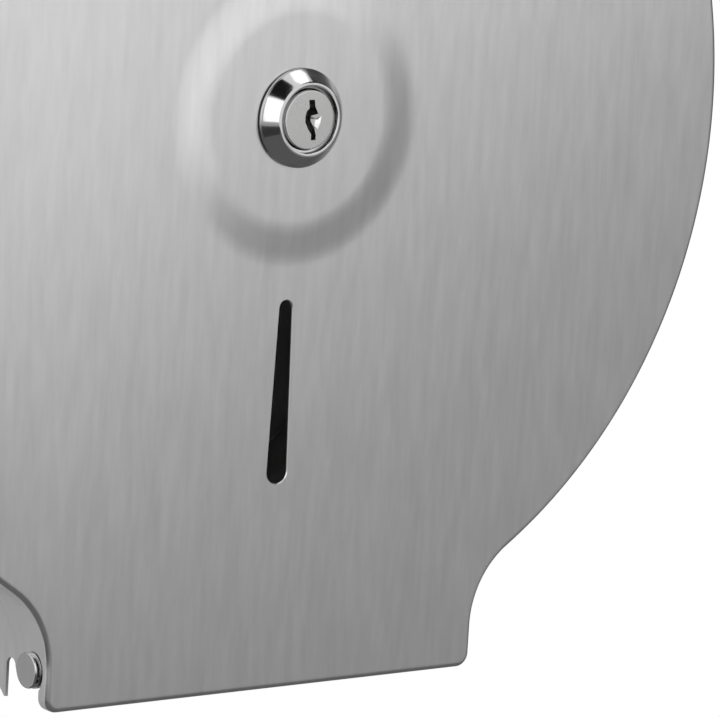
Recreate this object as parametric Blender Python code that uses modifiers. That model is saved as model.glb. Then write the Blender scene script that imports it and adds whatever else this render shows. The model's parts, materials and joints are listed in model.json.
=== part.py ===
"""Wall-hung dispenser for a jumbo roll of toilet paper, in brushed stainless steel.

Frame: X to the viewer's right, Y into the wall, Z up, all sizes in metres.  The origin is on
the wall-side face of the back plate, on the axis of the lock.  The front cover drops forward
on two rivets at the foot of the neck, the lock turns in the cover, and the roll hub turns
freely on its spindle.
"""
import math

import bmesh
import bpy
from mathutils import Matrix

# Clearances
FIT_GAP = 0.0003
RUN_GAP = 0.0004
COVER_GAP = 0.0004
SWING_GAP = 0.0030
OVERRUN = 0.0040

# Outline of the front cover, seen from the front and measured from the lock's axis
COVER_RADIUS = 0.1350
NECK_HALF_WIDTH = 0.0646
NECK_STRAIGHT = 0.0108
SHOULDER_RADIUS = 0.0238
CORNER_RADIUS = 0.0035
LEAST_CORNER = 0.0002

# Pressed front cover
DEPTH = 0.1200
SHEET = 0.0008
BEND_RADIUS = 0.0015
FLANGE_DEPTH = 0.0060
HEM_DEPTH = 0.0037
BOSS_RADIUS = 0.0355
BOSS_SLOPE = 0.0090
BOSS_HEIGHT = 0.0012
BOSS_FILLET = 0.0010

# Viewing slot
SLOT_MARGIN = 0.0093
SLOT_LENGTH = 0.0457
SLOT_TOP_RADIUS = 0.0017
SLOT_BOTTOM_RADIUS = 0.0028

# Hinge rivets at the foot of the neck
PIVOT_RISE = 0.0091
PIVOT_SETBACK = 0.0084
RIVET_SHANK_RADIUS = 0.0016
RIVET_HEAD_RADIUS = 0.0044
RIVET_FACE_RADIUS = 0.0038
RIVET_HEAD_RIM = 0.0012
RIVET_HEAD_CHAMFER = 0.0005
RIVET_TAIL_RADIUS = 0.0031
RIVET_TAIL_LENGTH = 0.0012
HINGE_WASHER_RADIUS = 0.0036
HINGE_WASHER_THICKNESS = 0.0006

# Brackets welded inside the cover, whose ears turn on the rivets
EAR_RADIUS = 0.0040
BRACKET_SHEET = 0.0008
BRACKET_BEND = 0.0016
BRACKET_FOOT = 0.0080
BRACKET_RISE = 0.0130
BRACKET_LIP = 0.0010

# Lower edge of the casing's band
BAND_GAP = 0.0011
TAB_REACH = 0.0075
SLIT_WIDTH = 0.0040
SLIT_RISE = 0.0010
TOOTH_PITCH = 0.0055
TOOTH_HEIGHT = 0.0022
TOOTH_TIP = 0.0006

# Back plate
BACK_SHEET = 0.0010
BACK_BEND = 0.0012
BACK_FLANGE = 0.0080
BACK_HEM = 0.0025
WALL_HOLE_RADIUS = 0.0033
KEYHOLE_RADIUS = 0.0058
KEYHOLE_RISE = 0.0100
WALL_HOLE_X = 0.0550
UPPER_HOLE_Z = 0.0600
LOWER_HOLE_Z = -0.0750

# Lock
BEZEL_RADIUS = 0.0122
BEZEL_FRONT_RADIUS = 0.0092
BEZEL_HEIGHT = 0.0041
BEZEL_RIM = 0.0006
BEZEL_EDGE = 0.0003
BARREL_RADIUS = 0.0093
BARREL_FLAT = 0.0083
PLUG_RADIUS = 0.0073
PLUG_RECESS = 0.0004
LOCK_WASHER_RADIUS = 0.0130
LOCK_WASHER_THICKNESS = 0.0008
NUT_ACROSS_FLATS = 0.0240
NUT_THICKNESS = 0.0040
THREAD_SPARE = 0.0030
TAIL_RADIUS = 0.0042
TAIL_FLAT = 0.0031
KEYWAY_LENGTH = 0.0098
KEYWAY_WIDTH = 0.0038
KEYWAY_DEPTH = 0.0070

# Cam and its bolt
CAM_THICKNESS = 0.0020
CAM_HUB_RADIUS = 0.0062
CAM_HALF_WIDTH = 0.0040
CAM_REACH = 0.0140
CAM_BOLT_HEAD_RADIUS = 0.0044
CAM_BOLT_HEAD_HEIGHT = 0.0025
CAM_BOLT_SHANK_RADIUS = 0.0015
CAM_BOLT_LENGTH = 0.0060

# Spindle
BASE_MARGIN = 0.0027
BASE_THICKNESS = 0.0020
SPIGOT_HEIGHT = 0.0060
SPIGOT_WALL = 0.0016
TUBE_RADIUS = 0.0200
TUBE_WALL = 0.0015
CATCH_OVERLAP = 0.0030
CATCH_THICKNESS = 0.0020
CATCH_CLEARANCE = 0.0025
CATCH_SKIRT = 0.0070
CATCH_SKIRT_WALL = 0.0015
CATCH_HOLE_RADIUS = 0.0076
CATCH_NOTCH_HALF_WIDTH = 0.0052
CATCH_NOTCH_REACH = 0.0152
CAM_CLEARANCE = 0.0008
SCREW_CLEARANCE = 0.0004
SCREW_HEAD_RADIUS = 0.0033
SCREW_HEAD_HEIGHT = 0.0018
SCREW_SHANK_RADIUS = 0.0018
SCREW_COUNT = 4

# Roll hub
SPACER_WALL = 0.0020
SPACER_LENGTH = 0.0021
HUB_DEPTH = 0.0060
HUB_WALL = 0.0022
HUB_NOSE = 0.0040
HUB_BUSH_LENGTH = 0.0100
HUB_FLANGE_REACH = 0.0180
HUB_FLANGE_THICKNESS = 0.0020
RIB_HEIGHT = 0.0012
RIB_WIDTH = 0.0026
RIB_COUNT = 6

# Facets
CIRCLE_STEPS = 40
SHOULDER_STEPS = 7
EAR_STEPS = 5
CORNER_STEPS = 4
BEND_STEPS = 4
BACK_BEND_STEPS = 2
BOSS_SEGMENTS = 56
TURNED_STEPS = 36
SMALL_STEPS = 18
MERGE = 0.00001
SMOOTH_ANGLE = math.radians(30)

# Places worked out from the sizes above; heights are measured from the wall
SHOULDER_Z = -math.sqrt((COVER_RADIUS + SHOULDER_RADIUS) ** 2 - (NECK_HALF_WIDTH + SHOULDER_RADIUS) ** 2)
BOTTOM_Z = SHOULDER_Z - NECK_STRAIGHT
FRONT_Y = -DEPTH
PIVOT_Y = FRONT_Y + PIVOT_SETBACK
PIVOT_Z = BOTTOM_Z + PIVOT_RISE
TAB_RADIUS = PIVOT_SETBACK - SHEET - SWING_GAP
BAND_INSET = SHEET + COVER_GAP
BACK_INSET = BAND_INSET + SHEET + FIT_GAP
BAND_FRONT = FRONT_Y + SHEET + BAND_GAP
HINGE_HOLE_RADIUS = RIVET_SHANK_RADIUS + FIT_GAP
HEAD_CLEARANCE_RADIUS = RIVET_HEAD_RADIUS + FIT_GAP
EAR_FACE = NECK_HALF_WIDTH - BAND_INSET - SHEET - FIT_GAP
WASHER_FACE = EAR_FACE - BRACKET_SHEET - FIT_GAP
RIVET_TAIL_FACE = WASHER_FACE - HINGE_WASHER_THICKNESS - FIT_GAP
BOSS_FACE = DEPTH + BOSS_HEIGHT
BEZEL_BASE = BOSS_FACE + FIT_GAP
BEZEL_FRONT = BEZEL_BASE + BEZEL_HEIGHT
LOCK_WASHER_FRONT = BOSS_FACE - SHEET - FIT_GAP
NUT_FRONT = LOCK_WASHER_FRONT - LOCK_WASHER_THICKNESS - FIT_GAP
BARREL_REAR = NUT_FRONT - NUT_THICKNESS - THREAD_SPARE
CATCH_RADIUS = TUBE_RADIUS + CATCH_OVERLAP
CATCH_FRONT = BARREL_REAR - CATCH_CLEARANCE
CATCH_REAR = CATCH_FRONT - CATCH_THICKNESS
CAM_FRONT = CATCH_REAR - CAM_CLEARANCE
CAM_REAR = CAM_FRONT - CAM_THICKNESS
SPACER_RADIUS = TUBE_RADIUS + FIT_GAP + SPACER_WALL
SCREW_CIRCLE = SPACER_RADIUS + SCREW_CLEARANCE + SCREW_HEAD_RADIUS
BASE_RADIUS = SCREW_CIRCLE + SCREW_HEAD_RADIUS + BASE_MARGIN
BASE_REAR = BACK_SHEET + FIT_GAP
BASE_FRONT = BASE_REAR + BASE_THICKNESS
TUBE_REAR = BASE_FRONT + FIT_GAP
TUBE_FRONT = CATCH_REAR - FIT_GAP
TUBE_BORE = TUBE_RADIUS - TUBE_WALL
SPACER_FRONT = TUBE_REAR + SPACER_LENGTH
HUB_REAR = SPACER_FRONT + RUN_GAP
HUB_FRONT = CATCH_REAR - RUN_GAP
HUB_BORE = TUBE_RADIUS + RUN_GAP
HUB_RADIUS = TUBE_RADIUS + HUB_DEPTH
HUB_FLANGE_RADIUS = HUB_RADIUS + HUB_FLANGE_REACH
NUT_HOLE_RADIUS = BARREL_RADIUS + FIT_GAP

FRONTWARD = Matrix.Rotation(math.radians(90), 4, "X")
SIDEWAYS = Matrix(((0, 0, 1, 0), (1, 0, 0, 0), (0, 1, 0, 0), (0, 0, 0, 1)))


def clear_scene():
    """Removes the objects that a new file starts with."""
    for obj in list(bpy.data.objects):
        bpy.data.objects.remove(obj)


def new_collection(name, hidden):
    """A collection under the scene's own, left out of renders where hidden is true."""
    collection = bpy.data.collections.new(name)
    bpy.context.scene.collection.children.link(collection)
    collection.hide_render = hidden
    return collection


def finish_of(name, colour, roughness, metallic):
    """A Principled material of one finish."""
    material = bpy.data.materials.new(name)
    material.use_nodes = True
    shader = material.node_tree.nodes["Principled BSDF"]
    shader.inputs["Base Color"].default_value = (*colour, 1)
    shader.inputs["Roughness"].default_value = roughness
    shader.inputs["Metallic"].default_value = metallic
    return material


def place(name, mesh, matrix=None, material=None):
    """An object that holds the mesh, among the parts if it has a material and else a cutter."""
    obj = bpy.data.objects.new(name, mesh)
    obj.matrix_world = matrix or Matrix()
    if material:
        mesh.materials.append(material)
        PARTS.objects.link(obj)
        mesh.shade_smooth()
        mesh.set_sharp_from_angle(angle=SMOOTH_ANGLE)
        return obj
    CUTTERS.objects.link(obj)
    obj.hide_render = True
    obj.display_type = "WIRE"
    return obj


def boolean(obj, other, operation="DIFFERENCE"):
    """Cuts the other object from this one, or joins it on."""
    modifier = obj.modifiers.new(f"{operation.lower()} {other.name}", "BOOLEAN")
    modifier.operation = operation
    modifier.object = other
    return modifier


def arc(centre, radius, start, end, steps):
    """Points of an arc from start to end, in degrees from the first axis to the second."""
    points = []
    for step in range(steps + 1):
        angle = math.radians(start + (end - start) * step / steps)
        points.append((centre[0] + radius * math.cos(angle), centre[1] + radius * math.sin(angle)))
    return points


def double_flat(radius, half_width):
    """A circle with two vertical flats, the section of a barrel that can't turn in its hole."""
    edge = math.degrees(math.acos(half_width / radius))
    return (
        arc((0, 0), radius, edge, 180 - edge, SMALL_STEPS)
        + arc((0, 0), radius, 180 + edge, 360 - edge, SMALL_STEPS)
    )


def flat_solid(name, loops, low, high, matrix, material=None):
    """A flat outline with its holes, as a filled 2D curve, extruded from low to high."""
    curve = bpy.data.curves.new(name, "CURVE")
    curve.dimensions = "2D"
    curve.fill_mode = "BOTH"
    curve.extrude = (high - low) / 2
    for loop in loops:
        spline = curve.splines.new("POLY")
        spline.points.add(len(loop) - 1)
        for point, (across, up) in zip(spline.points, loop):
            point.co = (across, up, 0, 1)
        spline.use_cyclic_u = True
    source = bpy.data.objects.new(name + " curve", curve)
    CUTTERS.objects.link(source)
    source.matrix_world = matrix @ Matrix.Translation((0, 0, (low + high) / 2))
    graph = bpy.context.evaluated_depsgraph_get()
    mesh = bpy.data.meshes.new_from_object(source.evaluated_get(graph))
    world = source.matrix_world.copy()
    bpy.data.objects.remove(source)
    work = bmesh.new()
    work.from_mesh(mesh)
    bmesh.ops.remove_doubles(work, verts=work.verts, dist=MERGE)
    work.to_mesh(mesh)
    work.free()
    mesh.name = name
    return place(name, mesh, world, material)


def turned(name, profile, matrix, material=None, steps=TURNED_STEPS, ring=True):
    """A turned shape: the profile, as (radius, height) pairs, carried round the local Z axis.

    A ring's profile is closed, and any other one starts and ends on the axis.  Either runs
    down its outer side from top to bottom.
    """
    mesh = bpy.data.meshes.new(name)
    edges = [(i, i + 1) for i in range(len(profile) - 1)]
    if ring:
        edges.append((len(profile) - 1, 0))
    mesh.from_pydata([(radius, 0, height) for radius, height in profile], edges, [])
    obj = place(name, mesh, matrix, material)
    screw = obj.modifiers.new("turn", "SCREW")
    screw.steps = steps
    screw.render_steps = steps
    screw.use_merge_vertices = True
    screw.merge_threshold = MERGE
    screw.use_smooth_shade = True
    return obj


def across_neck(side):
    """The local Z axis along X, outwards to this side, through the hinge's pivot."""
    return Matrix.Translation((0, PIVOT_Y, PIVOT_Z)) @ Matrix.Rotation(math.radians(90 * side), 4, "Y")


def half_outline(inset):
    """The right half of the cover's outline moved inwards, from the foot of the neck to the top.

    A corner, the neck's straight side, a hollow shoulder tangent to the neck and the circle,
    and the circle itself.  Every inset gives as many points, so two outlines can be lofted.
    """
    side = NECK_HALF_WIDTH - inset
    foot = BOTTOM_Z + inset
    corner = max(CORNER_RADIUS - inset, LEAST_CORNER)
    points = arc((side - corner, foot + corner), corner, -90, 0, CORNER_STEPS)
    points.append((side, PIVOT_Z - FIT_GAP))
    points.append((side, PIVOT_Z + FIT_GAP))
    centre = (NECK_HALF_WIDTH + SHOULDER_RADIUS, SHOULDER_Z)
    tangent = math.degrees(math.atan2(SHOULDER_Z, centre[0]))
    points += arc(centre, SHOULDER_RADIUS + inset, 180, 180 + tangent, SHOULDER_STEPS)
    points += arc((0, 0), COVER_RADIUS - inset, tangent, 90, CIRCLE_STEPS)[1:]
    return points


def outline(inset):
    """The whole outline of the cover moved inwards, as one closed loop."""
    right = half_outline(inset)
    left = [(-across, up) for across, up in reversed(right[:-1])]
    return right + left


def cover_flange(height):
    """How far back the cover's flange reaches: below the rivets it is only a short hem."""
    return HEM_DEPTH if height < PIVOT_Z else FLANGE_DEPTH


def back_flange(height):
    """How far forward the back plate's flange reaches, with a short hem along its foot."""
    return BACK_HEM if height < BOTTOM_Z + BACK_INSET + CORNER_RADIUS else BACK_FLANGE


def add_ring(work, points, depths):
    """A ring of vertices at the points, each at its own depth."""
    return [work.verts.new((across, depth, up)) for (across, up), depth in zip(points, depths)]


def bridge(work, first, second):
    """Quads between two rings of equal length."""
    count = len(first)
    for i in range(count):
        after = (i + 1) % count
        work.faces.new((first[i], first[after], second[after], second[i]))


def tray(work, inset, bend, steps, flange, face, inward):
    """The flange and bend of a pressed sheet, lofted through rings; returns the innermost ring."""
    rim = outline(inset)
    rings = [add_ring(work, rim, [face + inward * flange(up) for _, up in rim])]
    for step in range(steps + 1):
        angle = math.pi / 2 * step / steps
        points = outline(inset + bend * (1 - math.cos(angle)))
        depth = face + inward * bend * (1 - math.sin(angle))
        rings.append(add_ring(work, points, [depth] * len(points)))
    for first, second in zip(rings, rings[1:]):
        bridge(work, first, second)
    return rings[-1]


def sheet_object(work, name, thickness, facing, material):
    """The open surface in work as sheet metal, with the thickness behind the face it shows."""
    bmesh.ops.recalc_face_normals(work, faces=work.faces)
    widest = max(work.faces, key=lambda face: face.calc_area())
    if widest.normal.y * facing < 0:
        bmesh.ops.reverse_faces(work, faces=work.faces)
    mesh = bpy.data.meshes.new(name)
    work.to_mesh(mesh)
    work.free()
    obj = place(name, mesh, None, material)
    solid = obj.modifiers.new("sheet", "SOLIDIFY")
    solid.thickness = thickness
    solid.offset = -1
    solid.use_even_offset = True
    return obj


def boss_profile():
    """Radius and height of the raised boss, from its foot to its flat top, with soft edges."""
    slope = BOSS_HEIGHT / BOSS_SLOPE
    top = BOSS_RADIUS - BOSS_SLOPE
    soft = BOSS_FILLET * slope / 2
    return [
        (BOSS_RADIUS + BOSS_FILLET, 0),
        (BOSS_RADIUS, soft),
        (BOSS_RADIUS - BOSS_FILLET, BOSS_FILLET * slope),
        (top + BOSS_FILLET, BOSS_HEIGHT - BOSS_FILLET * slope),
        (top, BOSS_HEIGHT - soft),
        (top - BOSS_FILLET, BOSS_HEIGHT),
    ]


def make_front_cover(material):
    """The pressed cover: flange, bend, raised boss, viewing slot and lock hole."""
    work = bmesh.new()
    inner = tray(work, 0, BEND_RADIUS, BEND_STEPS, cover_flange, FRONT_Y, 1)
    rings = []
    for radius, height in boss_profile():
        circle = arc((0, 0), radius, 0, 360, BOSS_SEGMENTS)[:-1]
        rings.append(add_ring(work, circle, [FRONT_Y - height] * BOSS_SEGMENTS))
    for first, second in zip(rings, rings[1:]):
        bridge(work, first, second)
    edges = []
    for ring in (inner, rings[0]):
        for i, vertex in enumerate(ring):
            after = ring[(i + 1) % len(ring)]
            edges.append(work.edges.get((vertex, after)))
    bmesh.ops.triangle_fill(work, edges=edges, use_beauty=True)
    work.faces.new(rings[-1])
    cover = sheet_object(work, "front_cover", SHEET, -1, material)
    slot_top = -BOSS_RADIUS - SLOT_MARGIN - SLOT_TOP_RADIUS
    slot_bottom = -BOSS_RADIUS - SLOT_MARGIN - SLOT_LENGTH + SLOT_BOTTOM_RADIUS
    slot = arc((0, slot_top), SLOT_TOP_RADIUS, 0, 180, SMALL_STEPS // 2)
    slot += arc((0, slot_bottom), SLOT_BOTTOM_RADIUS, 180, 360, SMALL_STEPS // 2)
    low = DEPTH - OVERRUN
    high = BOSS_FACE + OVERRUN
    boolean(cover, flat_solid("cut_viewing_slot", [slot], low, high, FRONTWARD))
    hole = double_flat(BARREL_RADIUS + FIT_GAP, BARREL_FLAT + FIT_GAP)
    boolean(cover, flat_solid("cut_lock_hole", [hole], low, high, FRONTWARD))
    boolean(cover, hinge_cutter("cut_head_clearance", HEAD_CLEARANCE_RADIUS))
    return cover


def ear_reach(rise):
    """Where the bracket's ear ends, behind the pivot: round it at first, then tapering away."""
    if rise < EAR_RADIUS * math.sin(math.radians(45)):
        return math.sqrt(max(0, EAR_RADIUS**2 - rise**2))
    start = EAR_RADIUS * math.sin(math.radians(45))
    end = SHEET + FIT_GAP + BRACKET_BEND + BRACKET_LIP - PIVOT_SETBACK
    return start + (end - start) * (rise - start) / (BRACKET_RISE - start)


def make_hinge_bracket(name, side, material, hinge_hole):
    """An angle of sheet inside the cover: a foot on its plate and an ear on the rivet."""
    work = bmesh.new()
    face = FRONT_Y + SHEET + FIT_GAP
    bend = (EAR_FACE - BRACKET_BEND, face + BRACKET_BEND)
    rises = [up for _, up in arc((0, 0), EAR_RADIUS, -90, 45, EAR_STEPS)] + [BRACKET_RISE]
    rows = []
    for rise in rises:
        section = [(EAR_FACE - BRACKET_FOOT, face)]
        section += arc(bend, BRACKET_BEND, -90, 0, BACK_BEND_STEPS + 1)
        section.append((EAR_FACE, PIVOT_Y + ear_reach(rise)))
        rows.append([work.verts.new((side * across, depth, PIVOT_Z + rise)) for across, depth in section])
    for first, second in zip(rows, rows[1:]):
        for i in range(len(first) - 1):
            work.faces.new((first[i], first[i + 1], second[i + 1], second[i]))
    bracket = sheet_object(work, name, BRACKET_SHEET, -1, material)
    boolean(bracket, hinge_hole)
    return bracket


def lower_edge_outline():
    """What is cut from the foot of the band, as (depth, height) pairs from front to back.

    A rounded tab behind the rivet's head, a slit that takes the cover's lip when it hangs open,
    and saw teeth that tear the paper.
    """
    tab_end = PIVOT_Y + TAB_REACH
    slit_end = tab_end + SLIT_WIDTH
    slit_radius = SLIT_WIDTH / 2
    points = arc((PIVOT_Y, PIVOT_Z), TAB_RADIUS, 190, 270, SMALL_STEPS // 2)
    points += arc((tab_end - TAB_RADIUS, PIVOT_Z), TAB_RADIUS, 270, 360, SMALL_STEPS // 2)
    slit_centre = (tab_end + slit_radius, PIVOT_Z + SLIT_RISE - slit_radius)
    points += arc(slit_centre, slit_radius, 180, 0, SMALL_STEPS // 2)
    count = max(1, round(-slit_end / TOOTH_PITCH))
    pitch = -slit_end / count
    for tooth in range(count):
        start = slit_end + pitch * tooth
        points.append((start, BOTTOM_Z))
        points.append((start + TOOTH_TIP, BOTTOM_Z))
        points.append((start + (pitch + TOOTH_TIP) / 2, BOTTOM_Z + TOOTH_HEIGHT))
    points.append((0, BOTTOM_Z))
    points.append((OVERRUN, BOTTOM_Z))
    points.append((OVERRUN, BOTTOM_Z - OVERRUN - OVERRUN))
    points.append((FRONT_Y - OVERRUN, BOTTOM_Z - OVERRUN - OVERRUN))
    points.append((FRONT_Y - OVERRUN, points[0][1]))
    return points


def make_side_band(material, hinge_hole):
    """The casing's rolled wall, open at the foot, with its tabs, slits and saw teeth."""
    work = bmesh.new()
    right = [point for point in half_outline(BAND_INSET) if point[1] > BOTTOM_Z + CORNER_RADIUS]
    right.insert(0, (NECK_HALF_WIDTH - BAND_INSET, BOTTOM_Z - OVERRUN))
    path = [(-across, up) for across, up in reversed(right[1:])]
    path = right + path[1:] + [(-right[0][0], right[0][1])]
    front = add_ring(work, path, [BAND_FRONT] * len(path))
    back = add_ring(work, path, [0] * len(path))
    for i in range(len(path) - 1):
        work.faces.new((front[i], back[i], back[i + 1], front[i + 1]))
    bmesh.ops.recalc_face_normals(work, faces=work.faces)
    top = max(work.faces, key=lambda face: face.calc_center_median().z)
    if top.normal.z < 0:
        bmesh.ops.reverse_faces(work, faces=work.faces)
    mesh = bpy.data.meshes.new("side_band")
    work.to_mesh(mesh)
    work.free()
    band = place("side_band", mesh, None, material)
    solid = band.modifiers.new("sheet", "SOLIDIFY")
    solid.thickness = SHEET
    solid.offset = -1
    solid.use_even_offset = True
    reach = NECK_HALF_WIDTH + OVERRUN
    teeth = flat_solid("cut_lower_edge", [lower_edge_outline()], -reach, reach, SIDEWAYS)
    boolean(band, teeth)
    boolean(band, hinge_hole)
    return band


def keyhole():
    """A round mouth with a narrower slot above it that hangs on a screw's shank."""
    half = math.degrees(math.asin(WALL_HOLE_RADIUS / KEYHOLE_RADIUS))
    points = arc((0, 0), KEYHOLE_RADIUS, 90 + half, 450 - half, SMALL_STEPS)
    return points + arc((0, KEYHOLE_RISE), WALL_HOLE_RADIUS, 0, 180, SMALL_STEPS // 2)


def screw_places():
    """The centres of the spindle's screws, evenly round their circle."""
    turn = 360 / SCREW_COUNT
    return arc((0, 0), SCREW_CIRCLE, turn / 2, 360 + turn / 2, SCREW_COUNT)[:-1]


def make_back_plate(material):
    """The pressed back plate, with keyholes and screw holes for the wall and the spindle."""
    work = bmesh.new()
    inner = tray(work, BACK_INSET, BACK_BEND, BACK_BEND_STEPS, back_flange, 0, -1)
    work.faces.new(inner)
    plate = sheet_object(work, "back_plate", BACK_SHEET, 1, material)
    low = -OVERRUN
    high = BACK_SHEET + OVERRUN
    for side in (-1, 1):
        upper = [(side * WALL_HOLE_X + across, UPPER_HOLE_Z + up) for across, up in keyhole()]
        lower = arc((side * WALL_HOLE_X, LOWER_HOLE_Z), WALL_HOLE_RADIUS, 0, 360, SMALL_STEPS)[:-1]
        boolean(plate, flat_solid(f"cut_keyhole_{side}", [upper], low, high, FRONTWARD))
        boolean(plate, flat_solid(f"cut_wall_hole_{side}", [lower], low, high, FRONTWARD))
    for number, centre in enumerate(screw_places()):
        hole = arc(centre, SCREW_SHANK_RADIUS + FIT_GAP, 0, 360, SMALL_STEPS)[:-1]
        boolean(plate, flat_solid(f"cut_spindle_hole_{number}", [hole], low, high, FRONTWARD))
    return plate


def hinge_cutter(name, radius):
    """One long round cutter along the hinge's axis, from side to side."""
    reach = NECK_HALF_WIDTH + OVERRUN
    hole = arc((PIVOT_Y, PIVOT_Z), radius, 0, 360, SMALL_STEPS)[:-1]
    return flat_solid(name, [hole], -reach, reach, SIDEWAYS)


def dome(radius, base, height, steps):
    """Profile of a low dome from its crown on the axis to its edge."""
    points = []
    for step in range(steps + 1):
        angle = math.pi / 2 * step / steps
        points.append((radius * math.sin(angle), base + height * math.cos(angle)))
    return points


def make_hinge_rivet(name, side, material):
    """A flat-headed rivet through the tab and the ear, peened over inside the neck."""
    head = NECK_HALF_WIDTH - BAND_INSET + FIT_GAP
    tail = RIVET_TAIL_FACE
    crown = head + RIVET_HEAD_RIM + RIVET_HEAD_CHAMFER
    profile = [
        (0, crown),
        (RIVET_FACE_RADIUS, crown),
        (RIVET_HEAD_RADIUS, crown - RIVET_HEAD_CHAMFER),
        (RIVET_HEAD_RADIUS, head),
        (RIVET_SHANK_RADIUS, head),
        (RIVET_SHANK_RADIUS, tail),
        (RIVET_TAIL_RADIUS, tail),
        (RIVET_TAIL_RADIUS - RIVET_TAIL_LENGTH / 2, tail - RIVET_TAIL_LENGTH),
        (0, tail - RIVET_TAIL_LENGTH),
    ]
    return turned(name, profile, across_neck(side), material, SMALL_STEPS, ring=False)


def make_hinge_washer(name, side, material):
    """A thin washer between the ear and the rivet's peened end."""
    high = WASHER_FACE
    low = high - HINGE_WASHER_THICKNESS
    return turned(
        name,
        [
            (HINGE_HOLE_RADIUS, high),
            (HINGE_WASHER_RADIUS, high),
            (HINGE_WASHER_RADIUS, low),
            (HINGE_HOLE_RADIUS, low),
        ],
        across_neck(side),
        material,
        SMALL_STEPS,
    )


def make_spindle_base(material):
    """The disc that carries the spindle tube on a spigot."""
    outer = TUBE_BORE - FIT_GAP
    inner = outer - SPIGOT_WALL
    profile = [
        (inner, BASE_FRONT + SPIGOT_HEIGHT),
        (outer, BASE_FRONT + SPIGOT_HEIGHT),
        (outer, BASE_FRONT),
        (BASE_RADIUS, BASE_FRONT),
        (BASE_RADIUS, BASE_REAR),
        (inner, BASE_REAR),
    ]
    base = turned("spindle_base", profile, FRONTWARD, material)
    for number, centre in enumerate(screw_places()):
        hole = arc(centre, SCREW_SHANK_RADIUS + FIT_GAP, 0, 360, SMALL_STEPS)[:-1]
        low = BASE_REAR - OVERRUN
        high = BASE_FRONT + OVERRUN
        boolean(base, flat_solid(f"cut_base_hole_{number}", [hole], low, high, FRONTWARD))
    return base


def make_spindle_screw(name, centre, material):
    """A pan-head screw that holds the spindle's base to the back plate."""
    seat = BASE_FRONT + FIT_GAP
    profile = dome(SCREW_HEAD_RADIUS, seat + SCREW_HEAD_HEIGHT / 2, SCREW_HEAD_HEIGHT / 2, BEND_STEPS)
    profile += [
        (SCREW_HEAD_RADIUS, seat),
        (SCREW_SHANK_RADIUS, seat),
        (SCREW_SHANK_RADIUS, FIT_GAP),
        (0, FIT_GAP),
    ]
    matrix = FRONTWARD @ Matrix.Translation((centre[0], centre[1], 0))
    return turned(name, profile, matrix, material, SMALL_STEPS, ring=False)


def make_spindle_tube(material):
    """The steel tube that the roll hub turns on."""
    profile = [
        (TUBE_BORE, TUBE_FRONT),
        (TUBE_RADIUS, TUBE_FRONT),
        (TUBE_RADIUS, TUBE_REAR),
        (TUBE_BORE, TUBE_REAR),
    ]
    return turned("spindle_tube", profile, FRONTWARD, material)


def make_catch_plate(material):
    """The disc at the tube's mouth that the lock's cam turns behind, with its keyed hole."""
    outer = TUBE_BORE - FIT_GAP
    inner = outer - CATCH_SKIRT_WALL
    profile = [
        (0, CATCH_FRONT),
        (CATCH_RADIUS, CATCH_FRONT),
        (CATCH_RADIUS, CATCH_REAR),
        (outer, CATCH_REAR),
        (outer, CATCH_REAR - CATCH_SKIRT),
        (inner, CATCH_REAR - CATCH_SKIRT),
        (inner, CATCH_REAR),
        (0, CATCH_REAR),
    ]
    catch = turned("catch_plate", profile, FRONTWARD, material, ring=False)
    half = math.degrees(math.asin(CATCH_NOTCH_HALF_WIDTH / CATCH_HOLE_RADIUS))
    hole = arc((0, 0), CATCH_HOLE_RADIUS, 90 + half, 450 - half, SMALL_STEPS)
    hole.append((CATCH_NOTCH_HALF_WIDTH, CATCH_NOTCH_REACH))
    hole.append((-CATCH_NOTCH_HALF_WIDTH, CATCH_NOTCH_REACH))
    low = CATCH_REAR - CATCH_THICKNESS
    high = CATCH_FRONT + OVERRUN
    boolean(catch, flat_solid("cut_catch_hole", [hole], low, high, FRONTWARD))
    return catch


def make_hub_spacer(material):
    """The ring that keeps the hub clear of the screw heads."""
    bore = TUBE_RADIUS + FIT_GAP
    profile = [
        (bore, SPACER_FRONT),
        (SPACER_RADIUS, SPACER_FRONT),
        (SPACER_RADIUS, TUBE_REAR),
        (bore, TUBE_REAR),
    ]
    return turned("hub_spacer", profile, FRONTWARD, material)


def make_roll_hub(material):
    """The moulded hub that fills the roll's core: a nose, ribs, a rear flange and two bushes."""
    inner = HUB_RADIUS - HUB_WALL
    flange_front = HUB_REAR + HUB_FLANGE_THICKNESS
    profile = [
        (HUB_BORE, HUB_FRONT),
        (HUB_RADIUS - HUB_NOSE / 2, HUB_FRONT),
        (HUB_RADIUS, HUB_FRONT - HUB_NOSE),
        (HUB_RADIUS, flange_front),
        (HUB_FLANGE_RADIUS, flange_front),
        (HUB_FLANGE_RADIUS, HUB_REAR),
        (HUB_BORE, HUB_REAR),
        (HUB_BORE, HUB_REAR + HUB_BUSH_LENGTH),
        (inner, HUB_REAR + HUB_BUSH_LENGTH),
        (inner, HUB_FRONT - HUB_BUSH_LENGTH),
        (HUB_BORE, HUB_FRONT - HUB_BUSH_LENGTH),
    ]
    hub = turned("roll_hub", profile, FRONTWARD, material)
    low = flange_front - HUB_FLANGE_THICKNESS / 2
    high = HUB_FRONT - HUB_NOSE - HUB_NOSE / 2
    for number in range(RIB_COUNT):
        foot = HUB_RADIUS - HUB_WALL / 2
        crown = HUB_RADIUS + RIB_HEIGHT
        half = RIB_WIDTH / 2
        section = [(foot, -half), (crown, -half / 2), (crown, half / 2), (foot, half)]
        turn = Matrix.Rotation(math.radians(360 * number / RIB_COUNT), 4, "Z")
        rib = flat_solid(f"join_rib_{number}", [section], low, high, FRONTWARD @ turn)
        boolean(hub, rib, "UNION")
    return hub


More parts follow.
